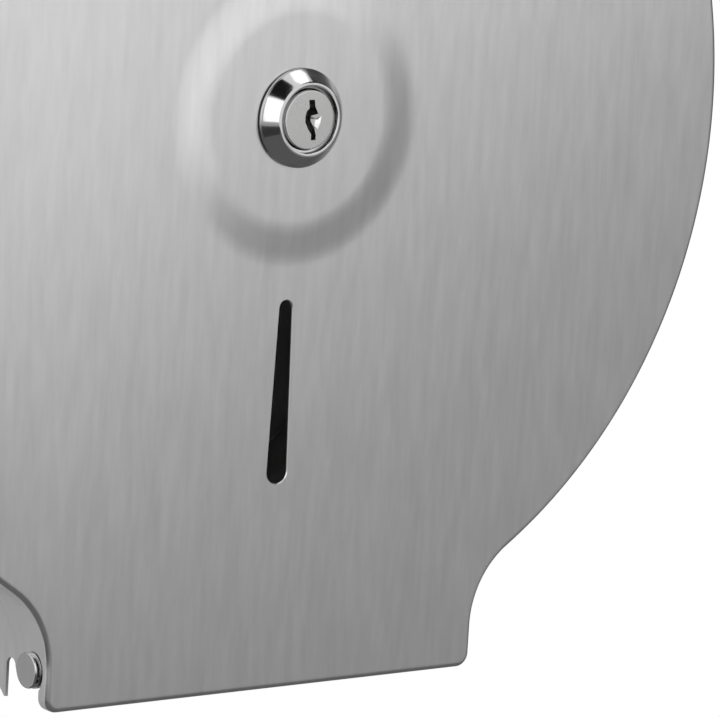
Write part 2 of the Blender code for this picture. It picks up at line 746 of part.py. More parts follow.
def make_lock_body(material):
    """The bezel and the threaded barrel, with two flats that stop it turning in the cover."""
    bore = PLUG_RADIUS + FIT_GAP
    profile = [
        (bore, BEZEL_FRONT),
        (BEZEL_FRONT_RADIUS - BEZEL_EDGE, BEZEL_FRONT),
        (BEZEL_FRONT_RADIUS, BEZEL_FRONT - BEZEL_EDGE),
        (BEZEL_RADIUS - BEZEL_EDGE, BEZEL_BASE + BEZEL_RIM + BEZEL_EDGE),
        (BEZEL_RADIUS, BEZEL_BASE + BEZEL_RIM),
        (BEZEL_RADIUS, BEZEL_BASE),
        (BARREL_RADIUS, BEZEL_BASE),
        (BARREL_RADIUS, BARREL_REAR),
        (bore, BARREL_REAR),
    ]
    body = turned("lock_body", profile, FRONTWARD, material)
    for side in (-1, 1):
        near = side * BARREL_FLAT
        far = side * (BARREL_RADIUS + OVERRUN)
        half = BARREL_RADIUS + OVERRUN
        corners = [(near, -half), (far, -half), (far, half), (near, half)]
        low = BARREL_REAR - OVERRUN
        high = BEZEL_BASE - FIT_GAP / 2
        boolean(body, flat_solid(f"cut_barrel_flat_{side}", [corners], low, high, FRONTWARD))
    return body


def make_lock_washer(material):
    """The washer behind the cover's sheet."""
    low = LOCK_WASHER_FRONT - LOCK_WASHER_THICKNESS
    profile = [
        (NUT_HOLE_RADIUS, LOCK_WASHER_FRONT),
        (LOCK_WASHER_RADIUS, LOCK_WASHER_FRONT),
        (LOCK_WASHER_RADIUS, low),
        (NUT_HOLE_RADIUS, low),
    ]
    return turned("lock_washer", profile, FRONTWARD, material)


def make_lock_nut(material):
    """The hexagon nut that clamps the lock."""
    corner = NUT_ACROSS_FLATS / 2 / math.cos(math.radians(30))
    hexagon = arc((0, 0), corner, 0, 360, 6)[:-1]
    hole = arc((0, 0), NUT_HOLE_RADIUS, 0, 360, TURNED_STEPS)[:-1]
    low = NUT_FRONT - NUT_THICKNESS
    return flat_solid("lock_nut", [hexagon, hole], low, NUT_FRONT, FRONTWARD, material)


def keyway_outline():
    """The keyway's crooked section, in shares of its half length and its width."""
    right = [(0.63, 0.98), (0.76, 0.65), (1.29, 0.29), (0.14, 0.20), (0.12, -0.06), (0.79, -0.43)]
    foot = [(1.07, -0.76), (1.07, -1.0), (0.33, -1.0), (0.34, -0.71)]
    left = [(-0.25, -0.43), (-0.67, -0.11), (-0.72, 0.18), (-0.52, 0.43), (-0.13, 0.58), (-0.25, 0.98)]
    half = KEYWAY_LENGTH / 2
    reach = KEYWAY_WIDTH / 2
    return [(across * reach, up * half) for across, up in right + foot + left]


def make_lock_plug(material):
    """The plug that the key turns, with its keyway, tail and tapped hole."""
    face = BEZEL_FRONT - PLUG_RECESS
    thread = CAM_BOLT_SHANK_RADIUS + FIT_GAP
    thread_end = CAM_REAR + CAM_BOLT_LENGTH + FIT_GAP
    profile = [
        (0, face),
        (PLUG_RADIUS, face),
        (PLUG_RADIUS, BARREL_REAR),
        (TAIL_RADIUS, BARREL_REAR),
        (TAIL_RADIUS, CAM_REAR),
        (thread, CAM_REAR),
        (thread, thread_end),
        (0, thread_end),
    ]
    plug = turned("lock_plug", profile, FRONTWARD, material, ring=False)
    low = face - KEYWAY_DEPTH
    boolean(plug, flat_solid("cut_keyway", [keyway_outline()], low, face + OVERRUN, FRONTWARD))
    for side in (-1, 1):
        near = side * TAIL_FLAT
        far = side * (TAIL_RADIUS + OVERRUN)
        half = TAIL_RADIUS + OVERRUN
        corners = [(near, -half), (far, -half), (far, half), (near, half)]
        low = CAM_REAR - OVERRUN
        high = CAM_FRONT + FIT_GAP
        boolean(plug, flat_solid(f"cut_tail_flat_{side}", [corners], low, high, FRONTWARD))
    return plug


def make_lock_cam(material):
    """The arm that turns behind the catch plate."""
    half = math.degrees(math.asin(CAM_HALF_WIDTH / CAM_HUB_RADIUS))
    shape = arc((0, 0), CAM_HUB_RADIUS, 90 + half, 450 - half, SMALL_STEPS)
    tip = (0, CAM_REACH - CAM_HALF_WIDTH)
    shape += arc(tip, CAM_HALF_WIDTH, 0, 180, SMALL_STEPS // 2)
    hole = double_flat(TAIL_RADIUS + FIT_GAP, TAIL_FLAT + FIT_GAP)
    return flat_solid("lock_cam", [shape, hole], CAM_REAR, CAM_FRONT, FRONTWARD, material)


def make_cam_bolt(material):
    """The hexagon-head bolt that holds the cam on the plug."""
    seat = CAM_REAR - FIT_GAP
    head = arc((0, 0), CAM_BOLT_HEAD_RADIUS, 0, 360, 6)[:-1]
    low = seat - CAM_BOLT_HEAD_HEIGHT
    bolt = flat_solid("cam_bolt", [head], low, seat, FRONTWARD, material)
    shank = [
        (0, CAM_REAR + CAM_BOLT_LENGTH - FIT_GAP),
        (CAM_BOLT_SHANK_RADIUS, CAM_REAR + CAM_BOLT_LENGTH - FIT_GAP),
        (CAM_BOLT_SHANK_RADIUS, seat - CAM_BOLT_HEAD_HEIGHT / 2),
        (0, seat - CAM_BOLT_HEAD_HEIGHT / 2),
    ]
    boolean(bolt, turned("join_bolt_shank", shank, FRONTWARD, None, SMALL_STEPS, ring=False), "UNION")
    return bolt


def hang_on(pivot_name, location, pieces):
    """Parents the pieces to an empty on their joint's axis, and leaves them where they are."""
    pivot = bpy.data.objects.new(pivot_name, None)
    PARTS.objects.link(pivot)
    pivot.location = location
    bpy.context.view_layer.update()
    for piece in pieces:
        piece.parent = pivot
        piece.matrix_parent_inverse = pivot.matrix_world.inverted()
    return pivot


def build():
    """Makes every piece of the dispenser."""
    brushed = finish_of("brushed stainless steel", (0.52, 0.52, 0.51), 0.34, 1.0)
    plain = finish_of("plain stainless steel", (0.46, 0.46, 0.45), 0.42, 1.0)
    chrome = finish_of("bright chrome", (0.80, 0.80, 0.80), 0.08, 1.0)
    zinc = finish_of("zinc-plated steel", (0.58, 0.58, 0.60), 0.35, 1.0)
    moulded = finish_of("moulded grey plastic", (0.30, 0.31, 0.32), 0.50, 0.0)
    hinge_hole = hinge_cutter("cut_hinge_hole", HINGE_HOLE_RADIUS)
    make_back_plate(plain)
    make_side_band(brushed, hinge_hole)
    cover_pieces = [make_front_cover(brushed)]
    for word, side in (("left", -1), ("right", 1)):
        cover_pieces.append(make_hinge_bracket(f"hinge_bracket_{word}", side, plain, hinge_hole))
        make_hinge_rivet(f"hinge_rivet_{word}", side, chrome)
        make_hinge_washer(f"hinge_washer_{word}", side, zinc)
    make_spindle_base(plain)
    for number, centre in enumerate(screw_places(), 1):
        make_spindle_screw(f"spindle_screw_{number}", centre, zinc)
    make_spindle_tube(plain)
    make_catch_plate(plain)
    make_hub_spacer(moulded)
    hub = make_roll_hub(moulded)
    cover_pieces += [make_lock_body(chrome), make_lock_washer(zinc), make_lock_nut(zinc)]
    plug_pieces = [make_lock_plug(chrome), make_lock_cam(zinc), make_cam_bolt(zinc)]
    cover_pivot = hang_on("cover_hinge", (0, PIVOT_Y, PIVOT_Z), cover_pieces)
    plug_pivot = hang_on("lock_axis", (0, FRONT_Y, 0), plug_pieces)
    hang_on("hub_axis", (0, -HUB_REAR, 0), [hub])
    bpy.context.view_layer.update()
    plug_pivot.parent = cover_pivot
    plug_pivot.matrix_parent_inverse = cover_pivot.matrix_world.inverted()


clear_scene()
PARTS = new_collection("jumbo roll dispenser", False)
CUTTERS = new_collection("cutters", True)
build()
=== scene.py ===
"""Studio view of a wall-hung steel dispenser for a jumbo roll of toilet paper.

Every piece is a surface worked out with numpy on a grid of rows and columns, in metres, in the
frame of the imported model: X to the right, Y into the wall, Z up, origin at the wall on the
lock's axis.  Rows run along a section and columns run round it.
"""
import json
import logging
import math
from dataclasses import dataclass, field
from enum import Enum
from typing import Callable, Iterable, Optional

import bmesh
import bpy
import numpy as np
from mathutils import Matrix, Vector


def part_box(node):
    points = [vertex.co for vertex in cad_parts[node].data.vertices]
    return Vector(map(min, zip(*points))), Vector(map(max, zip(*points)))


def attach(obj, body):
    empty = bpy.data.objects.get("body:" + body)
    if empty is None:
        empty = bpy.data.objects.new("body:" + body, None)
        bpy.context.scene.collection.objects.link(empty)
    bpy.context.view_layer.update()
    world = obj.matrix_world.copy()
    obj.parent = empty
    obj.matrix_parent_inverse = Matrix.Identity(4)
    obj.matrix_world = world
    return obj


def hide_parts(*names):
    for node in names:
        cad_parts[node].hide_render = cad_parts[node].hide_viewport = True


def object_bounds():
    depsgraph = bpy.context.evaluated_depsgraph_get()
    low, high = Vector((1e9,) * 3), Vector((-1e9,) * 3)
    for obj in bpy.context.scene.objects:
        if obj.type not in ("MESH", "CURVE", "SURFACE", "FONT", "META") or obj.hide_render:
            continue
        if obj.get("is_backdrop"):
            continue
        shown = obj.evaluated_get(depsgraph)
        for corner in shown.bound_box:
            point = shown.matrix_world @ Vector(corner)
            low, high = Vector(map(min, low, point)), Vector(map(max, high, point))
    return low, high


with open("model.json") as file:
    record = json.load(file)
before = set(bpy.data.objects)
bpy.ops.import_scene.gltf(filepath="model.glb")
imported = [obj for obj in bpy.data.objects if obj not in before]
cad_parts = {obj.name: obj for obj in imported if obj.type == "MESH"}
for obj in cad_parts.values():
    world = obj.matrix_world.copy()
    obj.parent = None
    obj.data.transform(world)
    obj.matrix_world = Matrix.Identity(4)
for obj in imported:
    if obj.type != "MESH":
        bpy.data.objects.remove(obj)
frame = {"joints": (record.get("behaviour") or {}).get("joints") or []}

log = logging.getLogger("dispenser")

MM = 0.001
SHARP_ANGLE = math.radians(32)
WELD = 1e-7

# The eased edge of a stamped or cut piece, and how far a cutter runs past the faces it cuts
EASE = 0.12 * MM
PAST = 1.0 * MM

# The gap between two pieces that fit together
FIT = 0.3 * MM


class Facing(Enum):
    """Which way the axis of a turned piece points."""

    FRONT = "front"
    LEFT = "left"
    RIGHT = "right"


class Grain(Enum):
    """Which way the brush went over a sheet."""

    UPRIGHT = "upright"
    ALONG_STRIP = "along the strip"


# Grids and meshes


def arc(centre: tuple[float, float], radius: float, start: float, end: float, count: int) -> np.ndarray:
    """Points of a circle's arc: the centre plus the radius times cosine and sine of the angle.

    Args:
        centre: The arc's centre.
        radius: Its radius.
        start: First angle in degrees.
        end: Last angle in degrees.
        count: How many points, both ends included.

    Returns:
        An array of count rows and two columns.
    """
    angle = np.radians(np.linspace(start, end, count))
    return np.stack([centre[0] + radius * np.cos(angle), centre[1] + radius * np.sin(angle)], axis=1)


def circle(centre: tuple[float, float], radius: float, count: int) -> np.ndarray:
    """Points all round a circle, as count rows and two columns."""
    return arc(centre, radius, 0, 360, count + 1)[:-1]


def grid_faces(rows: int, columns: int, wrap_rows: bool, wrap_columns: bool) -> np.ndarray:
    """Quads of a grid of vertices numbered row by row.

    Args:
        rows: Number of rows.
        columns: Number of columns.
        wrap_rows: Whether the last row joins the first.
        wrap_columns: Whether the last column joins the first.

    Returns:
        An array with the four vertex numbers of each quad.
    """
    row = np.arange(rows if wrap_rows else rows - 1)[:, None]
    column = np.arange(columns if wrap_columns else columns - 1)[None, :]
    below = (row + 1) % rows
    beside = (column + 1) % columns
    here, under = row * columns, below * columns
    return np.stack([here + column, here + beside, under + beside, under + column], axis=-1).reshape(-1, 4)


def grid_mesh(
    points: np.ndarray,
    wrap_rows: bool = False,
    wrap_columns: bool = True,
    strip: Optional[np.ndarray] = None,
) -> bpy.types.Mesh:
    """A closed mesh from a grid of points, with doubled points at its poles merged.

    Args:
        points: Array of rows, columns and three coordinates.
        wrap_rows: Whether the last row joins the first.
        wrap_columns: Whether the last column joins the first.
        strip: Array of rows, columns and two values for a UV map, in metres.

    Returns:
        The mesh, with its faces outwards.
    """
    rows, columns = points.shape[:2]
    faces = grid_faces(rows, columns, wrap_rows, wrap_columns)
    mesh = bpy.data.meshes.new("piece")
    mesh.from_pydata(points.reshape(-1, 3).tolist(), [], faces.tolist())
    if strip is not None:
        layer = mesh.uv_layers.new(name="strip")
        layer.data.foreach_set("uv", strip.reshape(-1, 2)[faces.reshape(-1)].astype(np.float32).reshape(-1))
    work = bmesh.new()
    work.from_mesh(mesh)
    bmesh.ops.remove_doubles(work, verts=work.verts, dist=WELD)
    loose = [edge for edge in work.edges if edge.is_wire]
    bmesh.ops.delete(work, geom=loose, context="EDGES")
    ends = [edge for edge in work.edges if edge.is_boundary]
    bmesh.ops.holes_fill(work, edges=ends, sides=0)
    bmesh.ops.recalc_face_normals(work, faces=work.faces)
    work.to_mesh(mesh)
    work.free()
    return mesh


def prism(name: str, sections: list[np.ndarray]) -> bpy.types.Object:
    """A cutter lofted through sections with equal numbers of points, with flat ends.

    Args:
        name: The cutter's name.
        sections: Arrays of points in space.

    Returns:
        An object that no render shows.
    """
    cutter = bpy.data.objects.new(name, grid_mesh(np.stack(sections)))
    bpy.context.scene.collection.objects.link(cutter)
    cutter.hide_render = True
    return cutter


def cut(mesh: bpy.types.Mesh, cutters: list[bpy.types.Object]) -> bpy.types.Mesh:
    """The mesh with the cutters taken away, and the cutters removed from the scene.

    Args:
        mesh: A closed mesh.
        cutters: Closed cutters.

    Returns:
        A new mesh.
    """
    holder = bpy.data.objects.new("holder", mesh)
    bpy.context.scene.collection.objects.link(holder)
    for cutter in cutters:
        modifier = holder.modifiers.new(cutter.name, "BOOLEAN")
        modifier.operation = "DIFFERENCE"
        modifier.solver = "EXACT"
        modifier.object = cutter
    graph = bpy.context.evaluated_depsgraph_get()
    done = bpy.data.meshes.new_from_object(holder.evaluated_get(graph))
    for obj in [holder, *cutters]:
        bpy.data.objects.remove(obj)
    return done


def turned_grid(
    profile: np.ndarray,
    steps: int,
    facing: Facing = Facing.FRONT,
    centre: tuple[float, float] = (0, 0),
    swell: Optional[Callable[[np.ndarray, np.ndarray], np.ndarray]] = None,
) -> np.ndarray:
    """A profile carried round an axis: radius times cosine and sine of the angle, at its height.

    Args:
        profile: Pairs of radius and height along the axis.
        steps: Points round the axis.
        facing: Where the axis points.
        centre: Where it stands: X and Z for a front axis, Y and Z for one to a side.
        swell: Adds to the radius, from the row's number and the angle.

    Returns:
        Array of rows, columns and three coordinates.
    """
    angle = np.linspace(0, 2 * math.pi, steps, endpoint=False)[None, :]
    rows = np.arange(len(profile))[:, None]
    radius = profile[:, :1] + (swell(rows, angle) if swell else 0 * angle)
    height = profile[:, 1:] + 0 * angle
    across = radius * np.cos(angle)
    up = radius * np.sin(angle)
    if facing is Facing.FRONT:
        return np.stack([centre[0] + across, -height, centre[1] + up], axis=-1)
    side = 1 if facing is Facing.RIGHT else -1
    return np.stack([side * height, centre[0] + across, centre[1] + up], axis=-1)


def turned(
    profile: np.ndarray,
    steps: int,
    ring: bool = False,
    facing: Facing = Facing.FRONT,
    centre: tuple[float, float] = (0, 0),
) -> bpy.types.Mesh:
    """A turned piece, closed through its bore where it is a ring, and at its two poles elsewhere."""
    return grid_mesh(turned_grid(profile, steps, facing, centre), wrap_rows=ring)


def eased(corners: list[tuple[float, float, float]], count: int = 5, closed: bool = True) -> np.ndarray:
    """A profile with its corners rounded by quadratic curves.

    Each corner gives way to the curve (1-t)^2 A + 2 t (1-t) corner + t^2 B, where A and B lie its
    easing length before and after it.

    Args:
        corners: Radius, height and easing length of each corner.
        count: Points on each rounded corner.
        closed: Whether the profile runs back to its start.

    Returns:
        Pairs of radius and height.
    """
    table = np.array(corners, float)
    place = table[:, :2]
    before = np.roll(place, 1, axis=0) - place
    after = np.roll(place, -1, axis=0) - place
    reach = table[:, 2:]
    near = place + before / np.linalg.norm(before, axis=1, keepdims=True) * reach
    far = place + after / np.linalg.norm(after, axis=1, keepdims=True) * reach
    t = np.linspace(0, 1, count)[None, :, None]
    curve = (1 - t) ** 2 * near[:, None] + 2 * t * (1 - t) * place[:, None] + t**2 * far[:, None]
    points = curve.reshape(-1, 2)
    if closed:
        return points
    return np.concatenate([place[:1], points[count:-count], place[-1:]])


def put(
    name: str,
    mesh: bpy.types.Mesh,
    material: bpy.types.Material,
    body: str,
    *stands_for: str,
) -> bpy.types.Object:
    """Places a finished piece in the scene on its body.

    Args:
        name: The piece's name.
        mesh: Its mesh, in place.
        material: Its finish.
        body: The body it rides on.
        stands_for: The solids it replaces.

    Returns:
        The piece.
    """
    mesh.name = name
    mesh.materials.clear()
    mesh.materials.append(material)
    mesh.shade_smooth()
    mesh.set_sharp_from_angle(angle=SHARP_ANGLE)
    piece = bpy.data.objects.new(name, mesh)
    bpy.context.scene.collection.objects.link(piece)
    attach(piece, body)
    if stands_for:
        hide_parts(*stands_for)
    log.info("%s: %d faces on %s", name, len(mesh.polygons), body)
    return piece


# Finishes


def linear(code: str) -> tuple[float, float, float, float]:
    """The linear colour of an sRGB hex code.

    Args:
        code: Six hex digits.

    Returns:
        Red, green, blue and full opacity.
    """
    shares = np.array([int(code[i : i + 2], 16) for i in (0, 2, 4)]) / 255
    bent = np.where(shares <= 0.04045, shares / 12.92, ((shares + 0.055) / 1.055) ** 2.4)
    return (*bent.tolist(), 1.0)


def add_node(tree: bpy.types.NodeTree, kind: str, settings: dict, links: dict) -> bpy.types.Node:
    """Adds a node, sets its values and joins its inputs.

    Args:
        tree: The node tree.
        kind: The node's type.
        settings: Values by attribute name, or by input name or number.
        links: Output sockets by input name or number.

    Returns:
        The node.
    """
    node = tree.nodes.new(kind)
    for key, value in settings.items():
        if isinstance(key, str) and hasattr(node, key):
            setattr(node, key, value)
        else:
            node.inputs[key].default_value = value
    for key, socket in links.items():
        tree.links.new(socket, node.inputs[key])
    return node


def new_material(name: str, settings: dict) -> tuple[bpy.types.Material, bpy.types.Node]:
    """A material with a Principled shader.

    Args:
        name: The material's name.
        settings: Values of the shader's inputs.

    Returns:
        The material and its shader node.
    """
    material = bpy.data.materials.new(name)
    material.use_nodes = True
    shader = material.node_tree.nodes["Principled BSDF"]
    for key, value in settings.items():
        shader.inputs[key].default_value = value
    return material, shader


def per_size(*sizes_mm: float) -> tuple[float, ...]:
    """Scale of a pattern whose features have these sizes in millimetres along X, Y and Z."""
    return tuple(1 / (size * MM) for size in sizes_mm)


@dataclass(frozen=True)
class Mottle:
    """Soft noise that the tone, the roughness and the relief of a finish follow together.

    The noise itself mixes the tone from two hex codes.  While it crosses the span, the roughness
    rises from its unevenness below its middle value to its unevenness above it.
    """

    sizes_mm: tuple[float, float, float]
    detail: float
    tones: tuple[str, str]
    roughness: float
    unevenness: float
    relief_mm: float
    relief: float = 0.5
    span: tuple[float, float] = (0.3, 0.7)
    space: str = "Object"

    def dress(self, material: bpy.types.Material, shader: bpy.types.Node) -> bpy.types.Material:
        """Joins the noise to a shader.

        Args:
            material: The finish's material.
            shader: Its Principled shader.

        Returns:
            The material.
        """
        tree = material.node_tree
        source = add_node(tree, "ShaderNodeTexCoord", {}, {}).outputs[self.space]
        mapping = add_node(tree, "ShaderNodeMapping", {"Scale": per_size(*self.sizes_mm)}, {"Vector": source})
        settings = {"Scale": 1.0, "Detail": self.detail}
        noise = add_node(tree, "ShaderNodeTexNoise", settings, {"Vector": mapping.outputs["Vector"]})
        fac = noise.outputs["Fac"]
        settings = {"data_type": "RGBA", 6: linear(self.tones[0]), 7: linear(self.tones[1])}
        tint = add_node(tree, "ShaderNodeMix", settings, {0: fac})
        ends = (*self.span, self.roughness - self.unevenness, self.roughness + self.unevenness)
        settings = dict(zip(("From Min", "From Max", "To Min", "To Max"), ends))
        rough = add_node(tree, "ShaderNodeMapRange", settings, {"Value": fac})
        tree.links.new(tint.outputs[2], shader.inputs["Base Color"])
        tree.links.new(rough.outputs["Result"], shader.inputs["Roughness"])
        if self.relief_mm:
            settings = {"Strength": self.relief, "Distance": self.relief_mm * MM}
            bump = add_node(tree, "ShaderNodeBump", settings, {"Height": fac})
            tree.links.new(bump.outputs["Normal"], shader.inputs["Normal"])
        return material


@dataclass(frozen=True)
class BrushedSteel:
    """Stainless steel sheet, satin from a belt of about 180 grit.

    The belt leaves fine parallel scratches, so the sheen spreads across them and the tone has
    faint streaks along them.  Real scratches are a few hundredths of a millimetre wide, finer than
    a pixel.  The streaks are drawn coarser instead, at the width that shows from a metre away.
    """

    name: str
    colour: str = "EBEBEB"
    streak_colour: str = "D5D5D5"
    roughness: float = 0.29
    unevenness: float = 0.006
    grain: Grain = Grain.UPRIGHT
    streak_mm: float = 2.2
    length_mm: float = 15.0
    depth_mm: float = 22.0
    bump_mm: float = 0.003

    def build(self) -> bpy.types.Material:
        """Makes the material, on the object's own axes or along the strip's UV map.

        Returns:
            The material.
        """
        if self.grain is Grain.UPRIGHT:
            space, sizes = "Object", (self.streak_mm, self.depth_mm, self.length_mm)
        else:
            space, sizes = "UV", (self.length_mm, self.streak_mm, self.length_mm)
        mottle = Mottle(
            sizes_mm=sizes,
            detail=2.0,
            tones=(self.streak_colour, self.colour),
            roughness=self.roughness,
            unevenness=self.unevenness,
            relief_mm=self.bump_mm,
            space=space,
        )
        return mottle.dress(*new_material(self.name, {"Metallic": 1.0}))


@dataclass(frozen=True)
class CloudedMetal:
    """Bright or plated metal with a faintly uneven sheen, as handling and plating leave it."""

    name: str
    colour: str
    dull_colour: str
    roughness: float
    unevenness: float
    cloud_mm: float
    bump_mm: float = 0.0

    def build(self) -> bpy.types.Material:
        """Makes the material.

        Returns:
            The material.
        """
        mottle = Mottle(
            sizes_mm=(self.cloud_mm, self.cloud_mm, self.cloud_mm),
            detail=4.0,
            tones=(self.dull_colour, self.colour),
            roughness=self.roughness,
            unevenness=self.unevenness,
            relief_mm=self.bump_mm,
            relief=0.4,
        )
        return mottle.dress(*new_material(self.name, {"Metallic": 1.0}))


@dataclass(frozen=True)
class MouldedPlastic:
    """Injection-moulded ABS with the fine spark-eroded texture of its mould."""

    name: str
    colour: str = "5C5F62"
    worn_colour: str = "65686B"
    roughness: float = 0.48
    unevenness: float = 0.06
    texture_mm: float = 0.6
    bump_mm: float = 0.02

    def build(self) -> bpy.types.Material:
        """Makes the material.

        Returns:
            The material.
        """
        mottle = Mottle(
            sizes_mm=(self.texture_mm, self.texture_mm, self.texture_mm),
            detail=3.0,
            tones=(self.colour, self.worn_colour),
            roughness=self.roughness,
            unevenness=self.unevenness,
            relief_mm=self.bump_mm,
            span=(0.0, 1.0),
        )
        return mottle.dress(*new_material(self.name, {"Metallic": 0.0, "IOR": 1.53}))


@dataclass
class Finishes:
    """Every finish of the dispenser, made once."""

    cover: bpy.types.Material = field(init=False)
    band: bpy.types.Material = field(init=False)
    mill: bpy.types.Material = field(init=False)
    chrome: bpy.types.Material = field(init=False)
    plug: bpy.types.Material = field(init=False)
    rivet: bpy.types.Material = field(init=False)
    zinc: bpy.types.Material = field(init=False)
    plastic: bpy.types.Material = field(init=False)

    def __post_init__(self) -> None:
        """Builds the materials."""
        self.cover = BrushedSteel("brushed stainless steel").build()
        self.band = BrushedSteel("brushed stainless strip", grain=Grain.ALONG_STRIP).build()
        mill = CloudedMetal("mill-finished stainless steel", "DADAD9", "CECECD", 0.58, 0.05, 18.0)
        self.mill = mill.build()
        self.chrome = CloudedMetal("bright chrome plate", "CFCFD0", "C8C8C9", 0.11, 0.02, 6.0).build()
        self.plug = CloudedMetal("satin nickel plate", "D4D4D3", "C8C8C7", 0.24, 0.05, 3.0, 0.01).build()
        self.rivet = CloudedMetal("polished stainless steel", "D2D2D2", "C6C6C6", 0.16, 0.05, 2.0).build()
        self.zinc = CloudedMetal("bright zinc plate", "C2C5C8", "A9ACB0", 0.30, 0.08, 4.0, 0.01).build()
        self.plastic = MouldedPlastic("moulded grey plastic").build()


# Pressed sheet


@dataclass(frozen=True)
class Silhouette:
    """The outline that cover, band and back plate share: a circle on a straight-sided neck."""

    radius: float
    half_width: float
    foot: float
    pivot: float
    shoulder: float = 23.8 * MM
    corner: float = 3.5 * MM
    least_corner: float = 0.2 * MM
    pivot_step: float = 0.3 * MM
    corner_points: int = 9
    neck_points: int = 5
    shoulder_points: int = 28
    circle_points: int = 150
    foot_points: int = 42

    @property
    def shoulder_height(self) -> float:
        """Height of the centre of the hollow shoulder, whose arc touches neck and circle.

        Returns:
            The height.
        """
        reach = self.radius + self.shoulder
        side = self.half_width + self.shoulder
        return -math.sqrt(reach**2 - side**2)

    def half(self, inset: float) -> np.ndarray:
        """The right half from foot to top, moved inwards.

        The corner's arc, heights up the neck with a step at the pivot, the shoulder's arc about a
        centre outside the neck, and the circle's arc.

        Args:
            inset: How far inside the outer face.

        Returns:
            Pairs of X and Z.
        """
        side = self.half_width - inset
        corner = max(self.corner - inset, self.least_corner)
        foot = self.foot + inset
        rise = np.linspace(self.pivot + self.pivot_step, self.shoulder_height, self.neck_points)[:-1]
        rise = np.concatenate([[self.pivot - self.pivot_step], rise])
        neck = np.stack([np.full(len(rise), side), rise], axis=1)
        centre = (self.half_width + self.shoulder, self.shoulder_height)
        tangent = math.degrees(math.atan2(centre[1], centre[0]))
        return np.concatenate(
            [
                arc((side - corner, foot + corner), corner, -90, 0, self.corner_points),
                neck,
                arc(centre, self.shoulder + inset, 180, 180 + tangent, self.shoulder_points),
                arc((0, 0), self.radius - inset, tangent, 90, self.circle_points)[1:],
            ]
        )

    def whole(self, inset: float) -> np.ndarray:
        """The whole outline moved inwards.

        Args:
            inset: How far inside the outer face.

        Returns:
            One closed loop of X and Z pairs.
        """
        right = self.half(inset)
        left = right[-2::-1] * (-1, 1)
        bottom = np.linspace(left[-1], right[0], self.foot_points)[1:-1]
        return np.concatenate([right, left, bottom])


def row(points: np.ndarray, depth: np.ndarray | float) -> np.ndarray:
    """Points of X and Z as a row in space, at the given place along Y."""
    return np.stack([points[:, 0], points[:, 1] * 0 + depth, points[:, 1]], axis=1)


def tray_rows(
    silhouette: Silhouette,
    inset: float,
    bend: float,
    reach: Callable[[np.ndarray], np.ndarray],
    face: float,
    inward: int,
    steps: int = 10,
) -> list[np.ndarray]:
    """One face of a tray's rim: its flange from the edge forwards, then the quarter circle.

    The bend is the radius times one minus cosine inwards, and one minus sine in depth.

    Args:
        silhouette: The outline.
        inset: Inset of this face of the flange.
        bend: Radius of this face's bend.
        reach: Depth of the flange at each height.
        face: Place of this face of the plate along Y.
        inward: Plus one if the flange runs along +Y, minus one if along -Y.
        steps: Points on the bend.

    Returns:
        The rows, the plate's own edge last.
    """
    rim = silhouette.whole(inset)
    rows = [row(rim, face + inward * reach(rim[:, 1]))]
    for angle in np.linspace(0, math.pi / 2, steps):
        outline = silhouette.whole(inset + bend * (1 - math.cos(angle)))
        rows.append(row(outline, face + inward * bend * (1 - math.sin(angle))))
    return rows


def plate_rows(edge: np.ndarray, radius: float, face: float, shares: np.ndarray) -> list[np.ndarray]:
    """Rows of a flat plate, on straight lines from its edge towards a circle round the axis.

    Args:
        edge: The plate's edge, as points in space.
        radius: The circle's radius.
        face: Place of the plate along Y.
        shares: How far along the lines each row lies, from zero at the edge to one at the circle.

    Returns:
        The rows.
    """
    flat = edge[:, [0, 2]]
    goal = flat / np.linalg.norm(flat, axis=1, keepdims=True) * radius
    return [row(flat + (goal - flat) * share, face) for share in shares]


def crosswise(name: str, silhouette: Silhouette, outline: np.ndarray) -> bpy.types.Object:
    """A cutter from side to side past the neck, of one outline of Y and Z pairs all along."""
    reach = silhouette.half_width + 5 * PAST
    return prism(name, [np.insert(outline, 0, side * reach, axis=1) for side in (-1, 1)])


def flat_piece(shape: Callable[[float], np.ndarray], low: float, high: float) -> bpy.types.Mesh:
    """A flat piece between two heights from the wall, with its edges eased.

    The outline is lofted through four heights and is smaller at the first and last.

    Args:
        shape: Gives the outline's X and Z pairs for an extra size all round.
        low: Height of its rear face.
        high: Height of its front face.

    Returns:
        The mesh.
    """
    steps = [(low, -EASE), (low + EASE, 0), (high - EASE, 0), (high, -EASE)]
    return grid_mesh(np.stack([row(shape(grow), -height) for height, grow in steps]))


def punch(
    name: str,
    shape: Callable[[float], np.ndarray],
    low: float,
    high: float,
    ease: float = EASE,
    past: float = PAST,
) -> bpy.types.Object:
    """A cutter through a sheet between two heights, wider at both faces to ease the hole's edges.

    Args:
        name: Its name.
        shape: Gives the hole's X and Z pairs for an extra size all round.
        low: Height of the sheet's rear face.
        high: Height of its front face.
        ease: The eased edge.
        past: How far it runs past both faces.

    Returns:
        The cutter.
    """
    rear = [(low - past, ease), (low, ease), (low + ease, 0)]
    front = [(high - ease, 0), (high, ease), (high + past, ease)]
    return prism(name, [row(shape(grow), -height) for height, grow in rear + front])


def holes(places: Iterable, radius: float, low: float, high: float) -> list[bpy.types.Object]:
    """Round punches of one radius through a sheet between two heights, at places of X and Z."""
    return [punch("hole", lambda grow: circle(place, radius + grow, 32), low, high) for place in places]


def screw_places(radius: float) -> np.ndarray:
    """X and Z of the spindle's four screws, a quarter turn apart on a circle."""
    return arc((0, 0), radius, 45, 315, 4)


